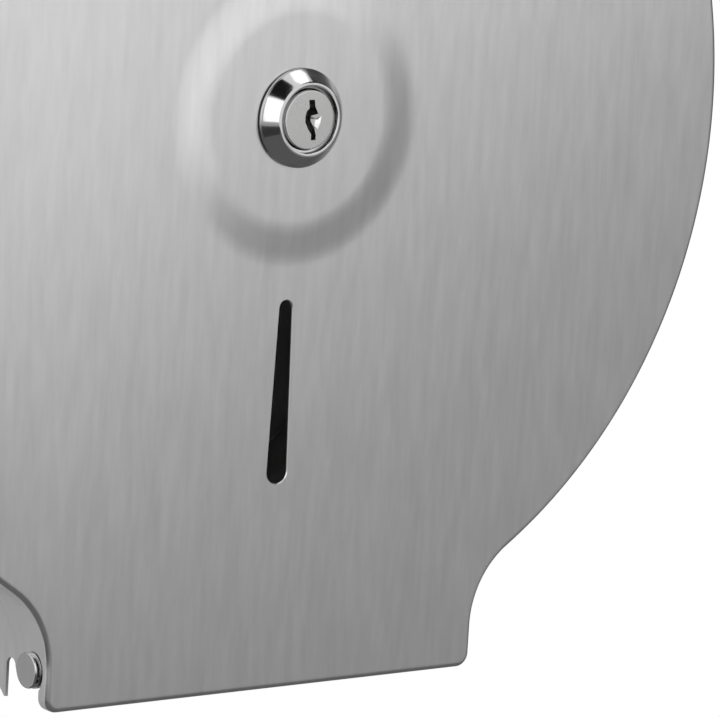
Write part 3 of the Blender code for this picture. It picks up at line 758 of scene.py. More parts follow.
@dataclass
class FrontCover:
    """The pressed cover, with its flange, raised boss, slot and holes."""

    finishes: Finishes
    silhouette: Silhouette
    front: float
    pivot: tuple[float, float]
    sheet: float = 0.8 * MM
    bend: float = 1.3 * MM
    flange: float = 6.0 * MM
    hem: float = 3.7 * MM
    boss_radius: float = 35.0 * MM
    boss_slope: float = 7.8 * MM
    boss_height: float = 0.9 * MM
    boss_room: float = 1.2 * MM
    boss_ease_share: float = 0.26
    lock_hole: float = 9.6 * MM
    head_notch: float = 6.2 * MM
    slot_top: float = -45.0 * MM
    slot_bottom: float = -90.7 * MM
    slot_narrow: float = 1.9 * MM
    slot_wide: float = 3.0 * MM
    slot_edge: float = 0.2 * MM

    def reach(self, height: np.ndarray) -> np.ndarray:
        """Depth of the flange: a hem below the rivets, and the rim above them."""
        return np.where(height < self.pivot[1], self.hem, self.flange)

    def boss(self, radius: np.ndarray) -> np.ndarray:
        """Height of the boss: a straight ramp with both ends eased by parabolas.

        Args:
            radius: Distances from the lock's axis.

        Returns:
            The heights above the plate.
        """
        share = (self.boss_radius - radius) / self.boss_slope
        ease = self.boss_ease_share
        ramps = []
        for start in (0, 1):
            along = share - start
            curved = (along + ease) ** 2 / (4 * ease)
            ramps.append(np.where(along > ease, along, np.where(along > -ease, curved, 0)))
        return self.boss_height * (ramps[0] - ramps[1])

    def face_rows(self, behind: float) -> list[np.ndarray]:
        """Rows of one face from the flange's edge to the lock hole.

        Args:
            behind: Zero for the outer face, the sheet's thickness for the inner one.

        Returns:
            The rows.
        """
        face = self.front + behind
        rows = tray_rows(
            self.silhouette, behind, self.bend - behind, lambda height: self.reach(height) - behind, face, 1
        )
        start = self.boss_radius + self.boss_slope * self.boss_ease_share
        # One row close to the bend and one close to the boss keep the plate between them flat
        shares = np.concatenate([[0.004], np.linspace(0.04, 0.96, 14), [0.995]])
        rows += plate_rows(rows[-1], start, face, shares)
        radii = np.linspace(start, self.boss_radius - self.boss_slope * (1 + self.boss_ease_share), 26)
        # The boss's flat top: one row close to its slope, and two on the way to the lock's hole
        radii = np.concatenate([radii, [radii[-1] - 0.3 * MM, 20 * MM, 12 * MM, self.lock_hole]])
        edge = rows[0][:, [0, 2]]
        way = edge / np.linalg.norm(edge, axis=1, keepdims=True)
        rises = self.boss(radii)
        return rows + [row(way * radius, face - rise) for radius, rise in zip(radii, rises)]

    def slot(self, grow: float) -> np.ndarray:
        """The tapered slot with round ends.

        Args:
            grow: Extra size all round.

        Returns:
            Pairs of X and Z.
        """
        upper = arc((0, self.slot_top - self.slot_narrow), self.slot_narrow + grow, 0, 180, 24)
        lower = arc((0, self.slot_bottom + self.slot_wide), self.slot_wide + grow, 180, 360, 24)
        return np.concatenate([upper, lower])

    def cutters(self) -> list[bpy.types.Object]:
        """The slot's punch, and the cutter of the notches round the rivets' heads.

        Returns:
            Both cutters.
        """
        outer = -self.front
        slot = punch("slot", self.slot, outer - self.sheet, outer, self.slot_edge, 2 * PAST)
        return [slot, crosswise("head notch", self.silhouette, circle(self.pivot, self.head_notch, 48))]

    def build(self) -> None:
        """Makes the cover."""
        rows = self.face_rows(0) + self.face_rows(self.sheet)[::-1]
        mesh = cut(grid_mesh(np.stack(rows), wrap_rows=True), self.cutters())
        put("front_cover_skin", mesh, self.finishes.cover, "cover", "front_cover")


@dataclass
class SideBand:
    """The casing's rolled wall with its hinge tabs, slits and saw teeth."""

    finishes: Finishes
    silhouette: Silhouette
    pivot: tuple[float, float]
    inset: float = 1.2 * MM
    sheet: float = 0.8 * MM
    tab_radius: float = 4.6 * MM
    tab_reach: float = 7.5 * MM
    slit_width: float = 4.0 * MM
    slit_rise: float = 1.0 * MM
    pitch: float = 5.5 * MM
    tooth_height: float = 2.2 * MM
    tooth_tip: float = 0.6 * MM
    rivet_hole: float = 1.9 * MM

    def path(self, inset: float) -> np.ndarray:
        """The band's line from the right foot over the top to the left foot.

        Args:
            inset: How far inside the outline.

        Returns:
            Pairs of X and Z.
        """
        half = self.silhouette.half(inset)[self.silhouette.corner_points :]
        foot = np.array([[half[0, 0], self.silhouette.foot - 4 * MM]])
        half = np.concatenate([foot, half])
        return np.concatenate([half, half[-2::-1] * (-1, 1)])

    def lower_edge(self) -> np.ndarray:
        """What the press cuts from the foot: round the tab, up the slit, then along the saw teeth.

        Returns:
            One closed loop of Y and Z pairs, which ends well outside the band.
        """
        y, z = self.pivot
        foot = self.silhouette.foot
        tab_end = y + self.tab_reach
        slit_end = tab_end + self.slit_width
        half_slit = self.slit_width / 2
        count = round(-slit_end / self.pitch)
        pitch = -slit_end / count
        start = slit_end + pitch * np.arange(count)
        tip = start + self.tooth_tip
        root = start + (pitch + self.tooth_tip) / 2
        across = np.stack([start, tip, root], axis=1).reshape(-1)
        up = np.tile([foot, foot, foot + self.tooth_height], count)
        low = foot - 8 * PAST
        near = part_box("side_band")[0].y - 4 * PAST
        wall = 5 * PAST
        tab = arc((y, z), self.tab_radius, 190, 270, 14)
        return np.concatenate(
            [
                tab,
                arc((tab_end - self.tab_radius, z), self.tab_radius, 270, 360, 14),
                arc((tab_end + half_slit, z + self.slit_rise - half_slit), half_slit, 180, 0, 18),
                np.stack([across, up], axis=1),
                [[0, foot], [wall, foot], [wall, low], [near, low], [near, tab[0, 1]]],
            ]
        )

    def build(self) -> None:
        """Makes the band."""
        outer = self.path(self.inset)
        inner = self.path(self.inset + self.sheet)
        along = np.concatenate([[0], np.cumsum(np.linalg.norm(np.diff(outer, axis=0), axis=1))])
        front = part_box("side_band")[0].y
        depths = np.linspace(front, 0, 9)
        rows = [row(outer, depth) for depth in depths] + [row(inner, depth) for depth in depths[::-1]]
        strip = [np.stack([along, along * 0 + depth], axis=1) for depth in [*depths, *depths[::-1]]]
        mesh = grid_mesh(np.stack(rows), True, False, np.stack(strip))
        edge = crosswise("lower edge", self.silhouette, self.lower_edge())
        hole = crosswise("rivet hole", self.silhouette, circle(self.pivot, self.rivet_hole, 48))
        mesh = cut(mesh, [edge, hole])
        put("side_band_skin", mesh, self.finishes.band, "casing", "side_band")


@dataclass
class BackPlate:
    """The pressed plate on the wall, with keyholes, screw holes and the spindle's four holes."""

    finishes: Finishes
    silhouette: Silhouette
    inset: float = SideBand.inset + SideBand.sheet + FIT
    sheet: float = 1.0 * MM
    bend: float = 1.2 * MM
    flange: float = 8.0 * MM
    hem: float = 2.5 * MM
    wall_hole: float = 3.3 * MM
    keyhole_mouth: float = 5.8 * MM
    keyhole_rise: float = 10.0 * MM
    hole_x: float = 55.0 * MM
    upper_z: float = 60.0 * MM
    lower_z: float = -75.0 * MM
    screw_hole: float = 2.1 * MM
    screw_circle: float = 26.0 * MM

    def reach(self, height: np.ndarray) -> np.ndarray:
        """Depth of the flange: a hem along the foot and the full flange elsewhere."""
        foot = self.silhouette.foot + self.inset + self.silhouette.corner
        return np.where(height < foot, self.hem, self.flange)

    def face_rows(self, behind: float) -> list[np.ndarray]:
        """Rows of one face from the flange's edge to the middle.

        Args:
            behind: Zero for the face on the wall, the sheet's thickness for the other.

        Returns:
            The rows.
        """
        rows = tray_rows(
            self.silhouette,
            self.inset + behind,
            self.bend - behind,
            lambda height: self.reach(height) - behind,
            -behind,
            -1,
            8,
        )
        return rows + plate_rows(rows[-1], 0, -behind, np.array([0.01, 0.25, 0.5, 0.75, 1.0]))

    def keyhole(self, centre: tuple[float, float], grow: float) -> np.ndarray:
        """A round mouth and the narrower slot above it.

        Args:
            centre: X and Z of the mouth.
            grow: Extra size all round.

        Returns:
            Pairs of X and Z.
        """
        mouth = self.keyhole_mouth + grow
        slot = self.wall_hole + grow
        half = math.degrees(math.asin(slot / mouth))
        lower = arc(centre, mouth, 90 + half, 450 - half, 40)
        return np.concatenate([lower, arc((centre[0], centre[1] + self.keyhole_rise), slot, 0, 180, 20)])

    def build(self) -> None:
        """Makes the plate."""
        rows = self.face_rows(0) + self.face_rows(self.sheet)[::-1]
        upper = [(side * self.hole_x, self.upper_z) for side in (-1, 1)]
        lower = [(side * self.hole_x, self.lower_z) for side in (-1, 1)]
        cutters = [punch("keyhole", lambda grow: self.keyhole(place, grow), 0, self.sheet) for place in upper]
        cutters += holes(lower, self.wall_hole, 0, self.sheet)
        cutters += holes(screw_places(self.screw_circle), self.screw_hole, 0, self.sheet)
        mesh = cut(grid_mesh(np.stack(rows), wrap_rows=True), cutters)
        put("back_plate_pressed", mesh, self.finishes.mill, "casing", "back_plate")


@dataclass
class Hinge:
    """The rivets and washers on the casing's tabs, and the cover's brackets that turn on them."""

    finishes: Finishes
    silhouette: Silhouette
    pivot: tuple[float, float]
    head_radius: float = 4.4 * MM
    face_radius: float = 4.15 * MM
    chamfer: float = 0.25 * MM
    shank: float = SideBand.rivet_hole - FIT
    tail_radius: float = 3.1 * MM
    tail_length: float = 1.2 * MM
    washer_radius: float = 3.6 * MM
    hole: float = SideBand.rivet_hole
    sheet: float = 0.8 * MM
    bend: float = 1.6 * MM
    foot: float = 8.0 * MM
    ear: float = 4.0 * MM
    ear_turn: float = 45.0
    lip: float = 1.0 * MM

    def rivet_profile(self, inside: float, crown: float) -> np.ndarray:
        """From the flat face over its chamfer to the shank, and out to the peened tail.

        Args:
            inside: How far from the middle plane the tail ends.
            crown: How far from it the head's face lies.

        Returns:
            Pairs of radius and height along the hinge's axis.
        """
        head = self.silhouette.half_width - SideBand.inset + FIT
        tail = inside + self.tail_length
        return eased(
            [
                (0, crown, 0),
                (self.face_radius, crown, 0.22 * MM),
                (self.head_radius, crown - self.chamfer, 0.22 * MM),
                (self.head_radius, head, 0.08 * MM),
                (self.shank, head, 0.05 * MM),
                (self.shank, tail, 0.05 * MM),
                (self.tail_radius, tail, 0.15 * MM),
                (self.tail_radius * 0.8, inside, 0.4 * MM),
                (0, inside, 0),
            ],
            closed=False,
        )

    def ear_reach(self, rise: float, end: float, top: float) -> float:
        """Depth of the ear behind the pivot: the circle's at first, then a straight taper.

        Args:
            rise: Height above the pivot.
            end: Depth at the bracket's top.
            top: Height of that top above the pivot.

        Returns:
            The depth.
        """
        start = self.ear * math.sin(math.radians(self.ear_turn))
        if rise < start:
            return math.sqrt(max(0.0, self.ear**2 - rise**2))
        return start + (end - start) * (rise - start) / (top - start)

    def bracket(self, side: int, name: str) -> bpy.types.Mesh:
        """An angle: its L section with eased corners, carried up as the ear's reach changes.

        Args:
            side: Minus one for the left, plus one for the right.
            name: The solid that gives its place.

        Returns:
            The mesh.
        """
        low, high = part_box(name)
        face = max(abs(low.x), abs(high.x))
        top = high.z - self.pivot[1]
        end = low.y + self.bend + self.lip - self.pivot[0]
        turns = np.radians(np.linspace(-90, self.ear_turn, 26))
        rises = self.ear * np.sin(turns)
        rises = np.concatenate([rises, np.linspace(rises[-1], top, 6)[1:]])
        sections = []
        for rise in rises:
            depth = self.pivot[0] + self.ear_reach(rise, end, top)
            depth = max(depth, low.y + self.bend + 0.2 * MM)
            section = eased(
                [
                    (face - self.foot, low.y, 0.1 * MM),
                    (face, low.y, self.bend),
                    (face, depth, 0.1 * MM),
                    (face - self.sheet, depth, 0.1 * MM),
                    (face - self.sheet, low.y + self.sheet, self.bend - self.sheet),
                    (face - self.foot, low.y + self.sheet, 0.1 * MM),
                ],
                count=7,
            )
            height = np.full((len(section), 1), self.pivot[1] + rise)
            sections.append(np.concatenate([section * (side, 1), height], axis=1))
        hole = crosswise("ear hole", self.silhouette, circle(self.pivot, self.hole, 48))
        return cut(grid_mesh(np.stack(sections)), [hole])

    def build(self) -> None:
        """Makes both sides."""
        for facing, side in ((Facing.LEFT, -1), (Facing.RIGHT, 1)):
            node = f"hinge_rivet_{facing.value}"
            ends = sorted(abs(corner.x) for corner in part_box(node))
            mesh = turned(self.rivet_profile(*ends), steps=96, facing=facing, centre=self.pivot)
            put(node + "_turned", mesh, self.finishes.rivet, "casing", node)
            node = f"hinge_washer_{facing.value}"
            ends = sorted(abs(corner.x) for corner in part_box(node))
            profile = washer_profile(self.hole, self.washer_radius, *ends)
            mesh = turned(profile, steps=64, ring=True, facing=facing, centre=self.pivot)
            put(node + "_stamped", mesh, self.finishes.zinc, "casing", node)
            node = f"hinge_bracket_{facing.value}"
            put(node + "_bent", self.bracket(side, node), self.finishes.mill, "cover", node)


def washer_profile(bore: float, radius: float, low: float, high: float, ease: float = EASE) -> np.ndarray:
    """A ring's section with four eased corners, as pairs of radius and height."""
    return eased([(bore, high, ease), (radius, high, ease), (radius, low, ease), (bore, low, ease)])


def heights(node: str) -> tuple[float, float]:
    """How far from the wall a solid starts and ends."""
    low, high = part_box(node)
    return -high.y, -low.y


@dataclass
class Spindle:
    """What carries the roll: a base with its screws, a tube, a spacer and the catch plate."""

    finishes: Finishes
    base_radius: float = 32.0 * MM
    base_thickness: float = 2.0 * MM
    spigot_wall: float = 1.6 * MM
    tube_radius: float = 20.0 * MM
    tube_wall: float = 1.5 * MM
    screw_circle: float = BackPlate.screw_circle
    screw_radius: float = 3.3 * MM
    screw_shank: float = 1.8 * MM
    recess: float = 1.7 * MM
    recess_width: float = 0.8 * MM
    recess_depth: float = 1.3 * MM
    recess_taper: float = 0.35
    catch_radius: float = 23.0 * MM
    catch_thickness: float = 2.0 * MM
    skirt_wall: float = 1.5 * MM
    catch_hole: float = 7.6 * MM
    notch_half: float = 5.2 * MM
    notch_reach: float = 15.2 * MM
    spacer_wall: float = 2.0 * MM

    def base(self) -> None:
        """The disc with its spigot."""
        low, high = heights("spindle_base")
        outer = self.tube_radius - self.tube_wall - FIT
        inner = outer - self.spigot_wall
        front = low + self.base_thickness
        profile = eased(
            [
                (inner, high, 0.2 * MM),
                (outer, high, 0.4 * MM),
                (outer, front, 0.12 * MM),
                (self.base_radius, front, 0.3 * MM),
                (self.base_radius, low, 0.2 * MM),
                (inner, low, 0.2 * MM),
            ]
        )
        mesh = turned(profile, steps=144, ring=True)
        mesh = cut(mesh, holes(screw_places(self.screw_circle), self.screw_shank + FIT, low, front))
        put("spindle_base_turned", mesh, self.finishes.mill, "casing", "spindle_base")

    def cross(self, centre: np.ndarray, reach: float, width: float) -> np.ndarray:
        """A cross of two bars: one arm's three corners turned four times.

        Args:
            centre: X and Z of its middle.
            reach: How far an arm reaches from the middle.
            width: Width of an arm.

        Returns:
            Pairs of X and Z.
        """
        arm = np.array([[reach, -width / 2], [reach, width / 2], [width / 2, width / 2]])
        turns = [arm @ np.array([[c, s], [-s, c]]) for c, s in ((1, 0), (0, 1), (-1, 0), (0, -1))]
        return centre + np.concatenate(turns)

    def screws(self) -> None:
        """Pan heads with a cross recess on the spindle's base."""
        seat = heights("spindle_base")[0] + self.base_thickness + FIT
        for number, centre in enumerate(screw_places(self.screw_circle), 1):
            node = f"spindle_screw_{number}"
            low, high = heights(node)
            profile = eased(
                [
                    (0, high, 0),
                    (self.screw_radius * 0.8, high - 0.15 * MM, 1.1 * MM),
                    (self.screw_radius, seat + 0.5 * MM, 0.35 * MM),
                    (self.screw_radius, seat, 0.08 * MM),
                    (self.screw_shank, seat, 0.05 * MM),
                    (self.screw_shank, low, 0.2 * MM),
                    (0, low, 0),
                ],
                closed=False,
            )
            mesh = turned(profile, steps=56, centre=tuple(centre))
            steps = [(high + 0.5 * MM, 1.0), (high, 1.0), (high - self.recess_depth, self.recess_taper)]
            recess = [
                row(self.cross(centre, self.recess * share, self.recess_width * (0.5 + share / 2)), -height)
                for height, share in steps
            ]
            put(f"{node}_pan_head", cut(mesh, [prism("recess", recess)]), self.finishes.zinc, "casing", node)

    def catch_shape(self) -> np.ndarray:
        """The keyed hole: a circle with a square notch above it for the cam.

        Returns:
            Pairs of X and Z.
        """
        half = math.degrees(math.asin(self.notch_half / self.catch_hole))
        circle = arc((0, 0), self.catch_hole, 90 + half, 450 - half, 60)
        notch = [[self.notch_half, self.notch_reach], [-self.notch_half, self.notch_reach]]
        return np.concatenate([circle, notch])

    def catch(self) -> None:
        """The disc that the cam turns behind."""
        low, high = heights("catch_plate")
        rear = high - self.catch_thickness
        outer = self.tube_radius - self.tube_wall - FIT
        inner = outer - self.skirt_wall
        profile = eased(
            [
                (0, high, 0),
                (self.catch_radius, high, 0.35 * MM),
                (self.catch_radius, rear, 0.15 * MM),
                (outer, rear, 0.05 * MM),
                (outer, low, 0.4 * MM),
                (inner, low, 0.15 * MM),
                (inner, rear, 0.2 * MM),
                (0, rear, 0),
            ],
            closed=False,
        )
        mesh = turned(profile, steps=128)
        shape = self.catch_shape()
        sections = [row(shape, -height) for height in (rear - PAST, high + PAST)]
        mesh = cut(mesh, [prism("keyed hole", sections)])
        put("catch_plate_turned", mesh, self.finishes.mill, "casing", "catch_plate")

    def build(self) -> None:
        """Makes the spindle's pieces."""
        self.base()
        self.screws()
        bore = self.tube_radius - self.tube_wall
        profile = washer_profile(bore, self.tube_radius, *heights("spindle_tube"), 0.2 * MM)
        mesh = turned(profile, steps=128, ring=True)
        put("spindle_tube_drawn", mesh, self.finishes.mill, "casing", "spindle_tube")
        self.catch()
        bore = self.tube_radius + FIT
        profile = washer_profile(bore, bore + self.spacer_wall, *heights("hub_spacer"), 0.2 * MM)
        mesh = turned(profile, steps=96, ring=True)
        put("hub_spacer_moulded", mesh, self.finishes.plastic, "casing", "hub_spacer")


@dataclass
class RollHub:
    """The moulded hub that fills the roll's core, with its nose, ribs, flange and bushes."""

    finishes: Finishes
    radius: float = 26.0 * MM
    wall: float = 2.2 * MM
    nose: float = 4.0 * MM
    bush: float = 10.0 * MM
    bore: float = Spindle.tube_radius + 0.4 * MM
    flange_radius: float = 44.0 * MM
    flange: float = 2.0 * MM
    rib_height: float = 1.2 * MM
    rib_width: float = 2.6 * MM
    ribs: int = 6

    def rib(self, angle: np.ndarray) -> np.ndarray:
        """Height of the ribs: a squared cosine over each rib's width, flat on top.

        Args:
            angle: Angles round the hub.

        Returns:
            The heights over the hub's wall.
        """
        turn = 2 * math.pi / self.ribs
        away = np.abs((angle + turn / 2) % turn - turn / 2) * self.radius / (self.rib_width / 2)
        return self.rib_height * np.clip(1.6 * np.cos(np.clip(away, 0, 1) * math.pi / 2) ** 2, 0, 1)

    def build(self) -> None:
        """Makes the hub."""
        low, high = heights("roll_hub")
        inner = self.radius - self.wall
        rib_low = low + self.flange
        rib_high = high - 1.5 * self.nose
        outline = [
            (self.bore, high, 0.4 * MM),
            (self.radius - self.nose / 2, high, 0.9 * MM),
            (self.radius, high - self.nose, 1.4 * MM),
            # Two rows a millimetre apart, between which the ribs fall away
            (self.radius, rib_high + 0.1 * MM, 0.02 * MM),
            (self.radius, rib_high - 0.9 * MM, 0.02 * MM),
            (self.radius, rib_low, 0.4 * MM),
            (self.flange_radius, rib_low, 0.6 * MM),
            (self.flange_radius, low, 0.4 * MM),
            (self.bore, low, 0.4 * MM),
            (self.bore, low + self.bush, 0.2 * MM),
            (inner, low + self.bush, 0.3 * MM),
            (inner, high - self.bush, 0.3 * MM),
            (self.bore, high - self.bush, 0.2 * MM),
        ]
        profile = eased(outline)
        ribbed = (profile[:, 1] < rib_high - 0.5 * MM) & (profile[:, 1] > rib_low - 0.1 * MM)
        ribbed &= np.abs(profile[:, 0] - self.radius) < 0.5 * MM
        share = ribbed.astype(float)[:, None]
        points = turned_grid(profile, steps=288, swell=lambda rows, angle: share * self.rib(angle))
        put("roll_hub_moulded", grid_mesh(points, wrap_rows=True), self.finishes.plastic, "hub", "roll_hub")


@dataclass
class CamLock:
    """The chrome lock in the cover: bezel, threaded barrel, plug and keyway, washer and nut."""

    finishes: Finishes
    base: float
    bezel_radius: float = 12.2 * MM
    front_radius: float = 9.2 * MM
    height: float = 4.1 * MM
    rim: float = 0.6 * MM
    skirt: float = 0.3 * MM
    barrel: float = 9.3 * MM
    flat: float = 8.3 * MM
    thread_pitch: float = 1.0 * MM
    thread_depth: float = 0.45 * MM
    thread_start: float = 2.2 * MM
    thread_end: float = 0.8 * MM
    bore: float = 7.6 * MM
    plug: float = bore - FIT
    groove: float = 8.2 * MM
    groove_depth: float = 1.6 * MM
    recess: float = 0.4 * MM
    tail: float = 4.2 * MM
    tail_flat: float = 3.1 * MM
    cam_thickness: float = 2.0 * MM
    bolt_hole: float = 1.8 * MM
    bolt_room: float = 6.0 * MM
    keyway_size: tuple[float, float] = (3.8 * MM, 9.8 * MM)
    keyway_depth: float = 7.0 * MM
    ward_depth: float = 1.1 * MM
    washer_radius: float = 13.0 * MM
    nut_flats: float = 24.0 * MM

    def bezel_profile(self, rear: float) -> np.ndarray:
        """The bore, the groove round the plug, a flat annulus, a cone, a rim and the barrel's thread.

        Args:
            rear: Height at which the barrel ends.

        Returns:
            Pairs of radius and height.
        """
        front = self.base + self.height
        crests = np.arange(self.base - self.thread_start, rear + self.thread_end, -self.thread_pitch)
        thread = []
        for crest in crests:
            thread.append((self.barrel, crest, 0.12 * MM))
            thread.append((self.barrel - self.thread_depth, crest - self.thread_pitch / 2, 0.1 * MM))
        return eased(
            [
                (self.bore, front - self.groove_depth, 0.1 * MM),
                (self.groove, front - self.groove_depth, 0.2 * MM),
                (self.groove, front, 0.2 * MM),
                (self.front_radius, front, 0.3 * MM),
                (self.bezel_radius, self.base + self.rim, 0.35 * MM),
                (self.bezel_radius, self.base - self.skirt, 0.1 * MM),
                (self.barrel, self.base - self.skirt, 0.05 * MM),
                *thread,
                (self.barrel - self.thread_depth, rear, 0.15 * MM),
                (self.bore, rear, 0.1 * MM),
            ],
            count=4,
        )

    def flats(self, across: float, low: float, high: float, wide: float) -> list[bpy.types.Object]:
        """Two cutters that leave flats on both sides of a round piece.

        Args:
            across: Half the width left between the flats.
            low: Height where they start.
            high: Height where they end.
            wide: Half the cutters' width.

        Returns:
            The cutters.
        """
        square = np.array([[across, -wide], [wide + across, -wide], [wide + across, wide], [across, wide]])
        ends = [[row(square * (side, 1), -height) for height in (low, high)] for side in (-1, 1)]
        return [prism("flat", pair) for pair in ends]

    def keyway(self, grow: float) -> np.ndarray:
        """The keyway's crooked section, from shares of its half sizes.

        Args:
            grow: Extra width.

        Returns:
            Pairs of X and Z.
        """
        right = [(0.63, 0.98), (0.76, 0.65), (1.29, 0.29), (0.14, 0.20), (0.12, -0.06), (0.79, -0.43)]
        foot = [(1.07, -0.76), (1.07, -1.0), (0.33, -1.0), (0.34, -0.71)]
        left = [(-0.25, -0.43), (-0.67, -0.11), (-0.72, 0.18), (-0.52, 0.43), (-0.13, 0.58), (-0.25, 0.98)]
        points = np.array(right + foot + left) * np.array(self.keyway_size) / 2
        middle = points.mean(axis=0)
        return middle + (points - middle) * (1 + grow / self.keyway_size[0])

    def ward(self, share: float) -> np.ndarray:
        """The hollow beside the keyway, which narrows towards its left as it gets deeper.

        Args:
            share: Its size at some depth, as a share of its size at the plug's face.

        Returns:
            Pairs of X and Z.
        """
        points = np.array(
            [(0.27, 0.9), (1.74, 0.3), (3.49, 0.9), (3.2, -0.8), (2.54, -2.27), (1.53, -2.15), (0.48, -0.56)]
        )
        middle = np.array([0.9, -0.3])
        return (middle + (points - middle) * share) * MM

    def body(self) -> None:
        """The bezel with its barrel, flat on both sides."""
        rear = heights("lock_body")[0]
        sides = self.flats(self.flat, rear - PAST, self.base - 0.15 * MM, wide=14 * MM)
        mesh = cut(turned(self.bezel_profile(rear), steps=144, ring=True), sides)
        put("lock_bezel", mesh, self.finishes.chrome, "cover", "lock_body")

    def core(self) -> None:
        """The plug with its keyway, the hollow beside that, and a flattened tail for the cam."""
        rear = heights("lock_body")[0]
        face = self.base + self.height - self.recess
        end = heights("lock_plug")[0]
        profile = eased(
            [
                (0, face, 0),
                (self.plug - 0.5 * MM, face, 0.02 * MM),
                (self.plug, face, 0.2 * MM),
                (self.plug, rear, 0.2 * MM),
                (self.tail, rear, 0.1 * MM),
                (self.tail, end, 0.2 * MM),
                (self.bolt_hole, end, 0.1 * MM),
                (self.bolt_hole, end + self.bolt_room, 0.1 * MM),
                (0, end + self.bolt_room, 0),
            ],
            closed=False,
        )
        keyway = [(-PAST, 0.06 * MM), (0, 0.06 * MM), (EASE, 0), (self.keyway_depth, 0)]
        ward = [(-PAST / 2, 1.0), (0, 1.0), (self.ward_depth, 0.6)]
        cutters = [
            prism("keyway", [row(self.keyway(grow), depth - face) for depth, grow in keyway]),
            prism("ward", [row(self.ward(share), depth - face) for depth, share in ward]),
            *self.flats(self.tail_flat, end - PAST, end + self.cam_thickness + FIT, wide=8 * MM),
        ]
        mesh = cut(turned(profile, steps=96), cutters)
        put("lock_plug_face", mesh, self.finishes.plug, "lock_core", "lock_plug")

    def build(self) -> None:
        """Makes the lock's body, plug, washer and nut."""
        self.body()
        self.core()
        bore = self.barrel + FIT
        profile = washer_profile(bore, self.washer_radius, *heights("lock_washer"))
        mesh = turned(profile, steps=96, ring=True)
        put("lock_washer_stamped", mesh, self.finishes.zinc, "cover", "lock_washer")
        points = hexagon_grid(self.nut_flats / 2, bore, *heights("lock_nut"))
        put("lock_nut_chamfered", grid_mesh(points, True), self.finishes.zinc, "cover", "lock_nut")


def hexagon_grid(inner: float, bore: float, low: float, high: float) -> np.ndarray:
    """A nut or bolt head whose corners are chamfered at 30 degrees on both faces.

    The side's radius is the inner radius over the cosine of the angle from the nearest flat's
    middle.  Each face is flat out to the crown, just inside the flats, and falls by the tangent of
    30 degrees beyond it.

    Args:
        inner: Half the width across the flats.
        bore: Radius of its hole.
        low: Height of its rear face.
        high: Height of its front face.

    Returns:
        Array of rows, columns and three coordinates.
    """
    angle = np.radians(np.arange(0, 360, 2.5))
    away = (angle + math.pi / 6) % (math.pi / 3) - math.pi / 6
    side = inner / np.cos(away)
    crown = inner * 0.985
    fall = (side - crown) * math.tan(math.radians(30))
    edge = 0.3 * MM
    table = [
        (bore, high - edge),
        (bore + edge, high),
        (crown, high),
        (side, high - fall),
        (side, low + fall),
        (crown, low),
        (bore + edge, low),
        (bore, low + edge),
    ]
    flat = np.zeros_like(angle)
    return np.stack([np.stack([r * np.cos(angle), flat - h, r * np.sin(angle)], axis=1) for r, h in table])


@dataclass
class CamGroup:
    """The locking arm on the plug's tail, and the bolt that holds it."""

    finishes: Finishes
    hub: float = 6.2 * MM
    half_width: float = 4.0 * MM
    reach: float = 14.0 * MM
    hole: float = CamLock.tail + FIT
    hole_flat: float = CamLock.tail_flat + FIT
    bolt_head: float = 4.4 * MM
    bolt_height: float = 2.5 * MM
    shank: float = CamLock.bolt_hole - FIT

    def arm(self, grow: float) -> np.ndarray:
        """The hub's circle and the arm's round end above it.

        Args:
            grow: Extra size all round.

        Returns:
            Pairs of X and Z.
        """
        width = self.half_width + grow
        hub = self.hub + grow
        half = math.degrees(math.asin(width / hub))
        lower = arc((0, 0), hub, 90 + half, 450 - half, 48)
        return np.concatenate([lower, arc((0, self.reach - self.half_width), width, 0, 180, 24)])

    def flat_hole(self) -> np.ndarray:
        """A circle with two upright flats.

        Returns:
            Pairs of X and Z.
        """
        edge = math.degrees(math.acos(self.hole_flat / self.hole))
        upper = arc((0, 0), self.hole, edge, 180 - edge, 20)
        return np.concatenate([upper, arc((0, 0), self.hole, 180 + edge, 360 - edge, 20)])

    def build(self) -> None:
        """Makes the arm and the bolt."""
        low, high = heights("lock_cam")
        sections = [row(self.flat_hole(), -height) for height in (low - PAST, high + PAST)]
        mesh = cut(flat_piece(self.arm, low, high), [prism("cam hole", sections)])
        put("lock_cam_stamped", mesh, self.finishes.zinc, "lock_core", "lock_cam")
        low, high = heights("cam_bolt")
        seat = low + self.bolt_height
        inner = self.bolt_head * math.cos(math.radians(30))
        head = hexagon_grid(inner, self.shank, low, seat)[2:6]
        steps = head.shape[1]
        shank = [(0, high), (self.shank - 0.2 * MM, high), (self.shank, high - 0.3 * MM), (self.shank, seat)]
        points = np.concatenate(
            [turned_grid(np.array(shank), steps), head, turned_grid(np.array([(0, low)]), steps)]
        )
        put("cam_bolt_headed", grid_mesh(points), self.finishes.zinc, "lock_core", "cam_bolt")


# Studio


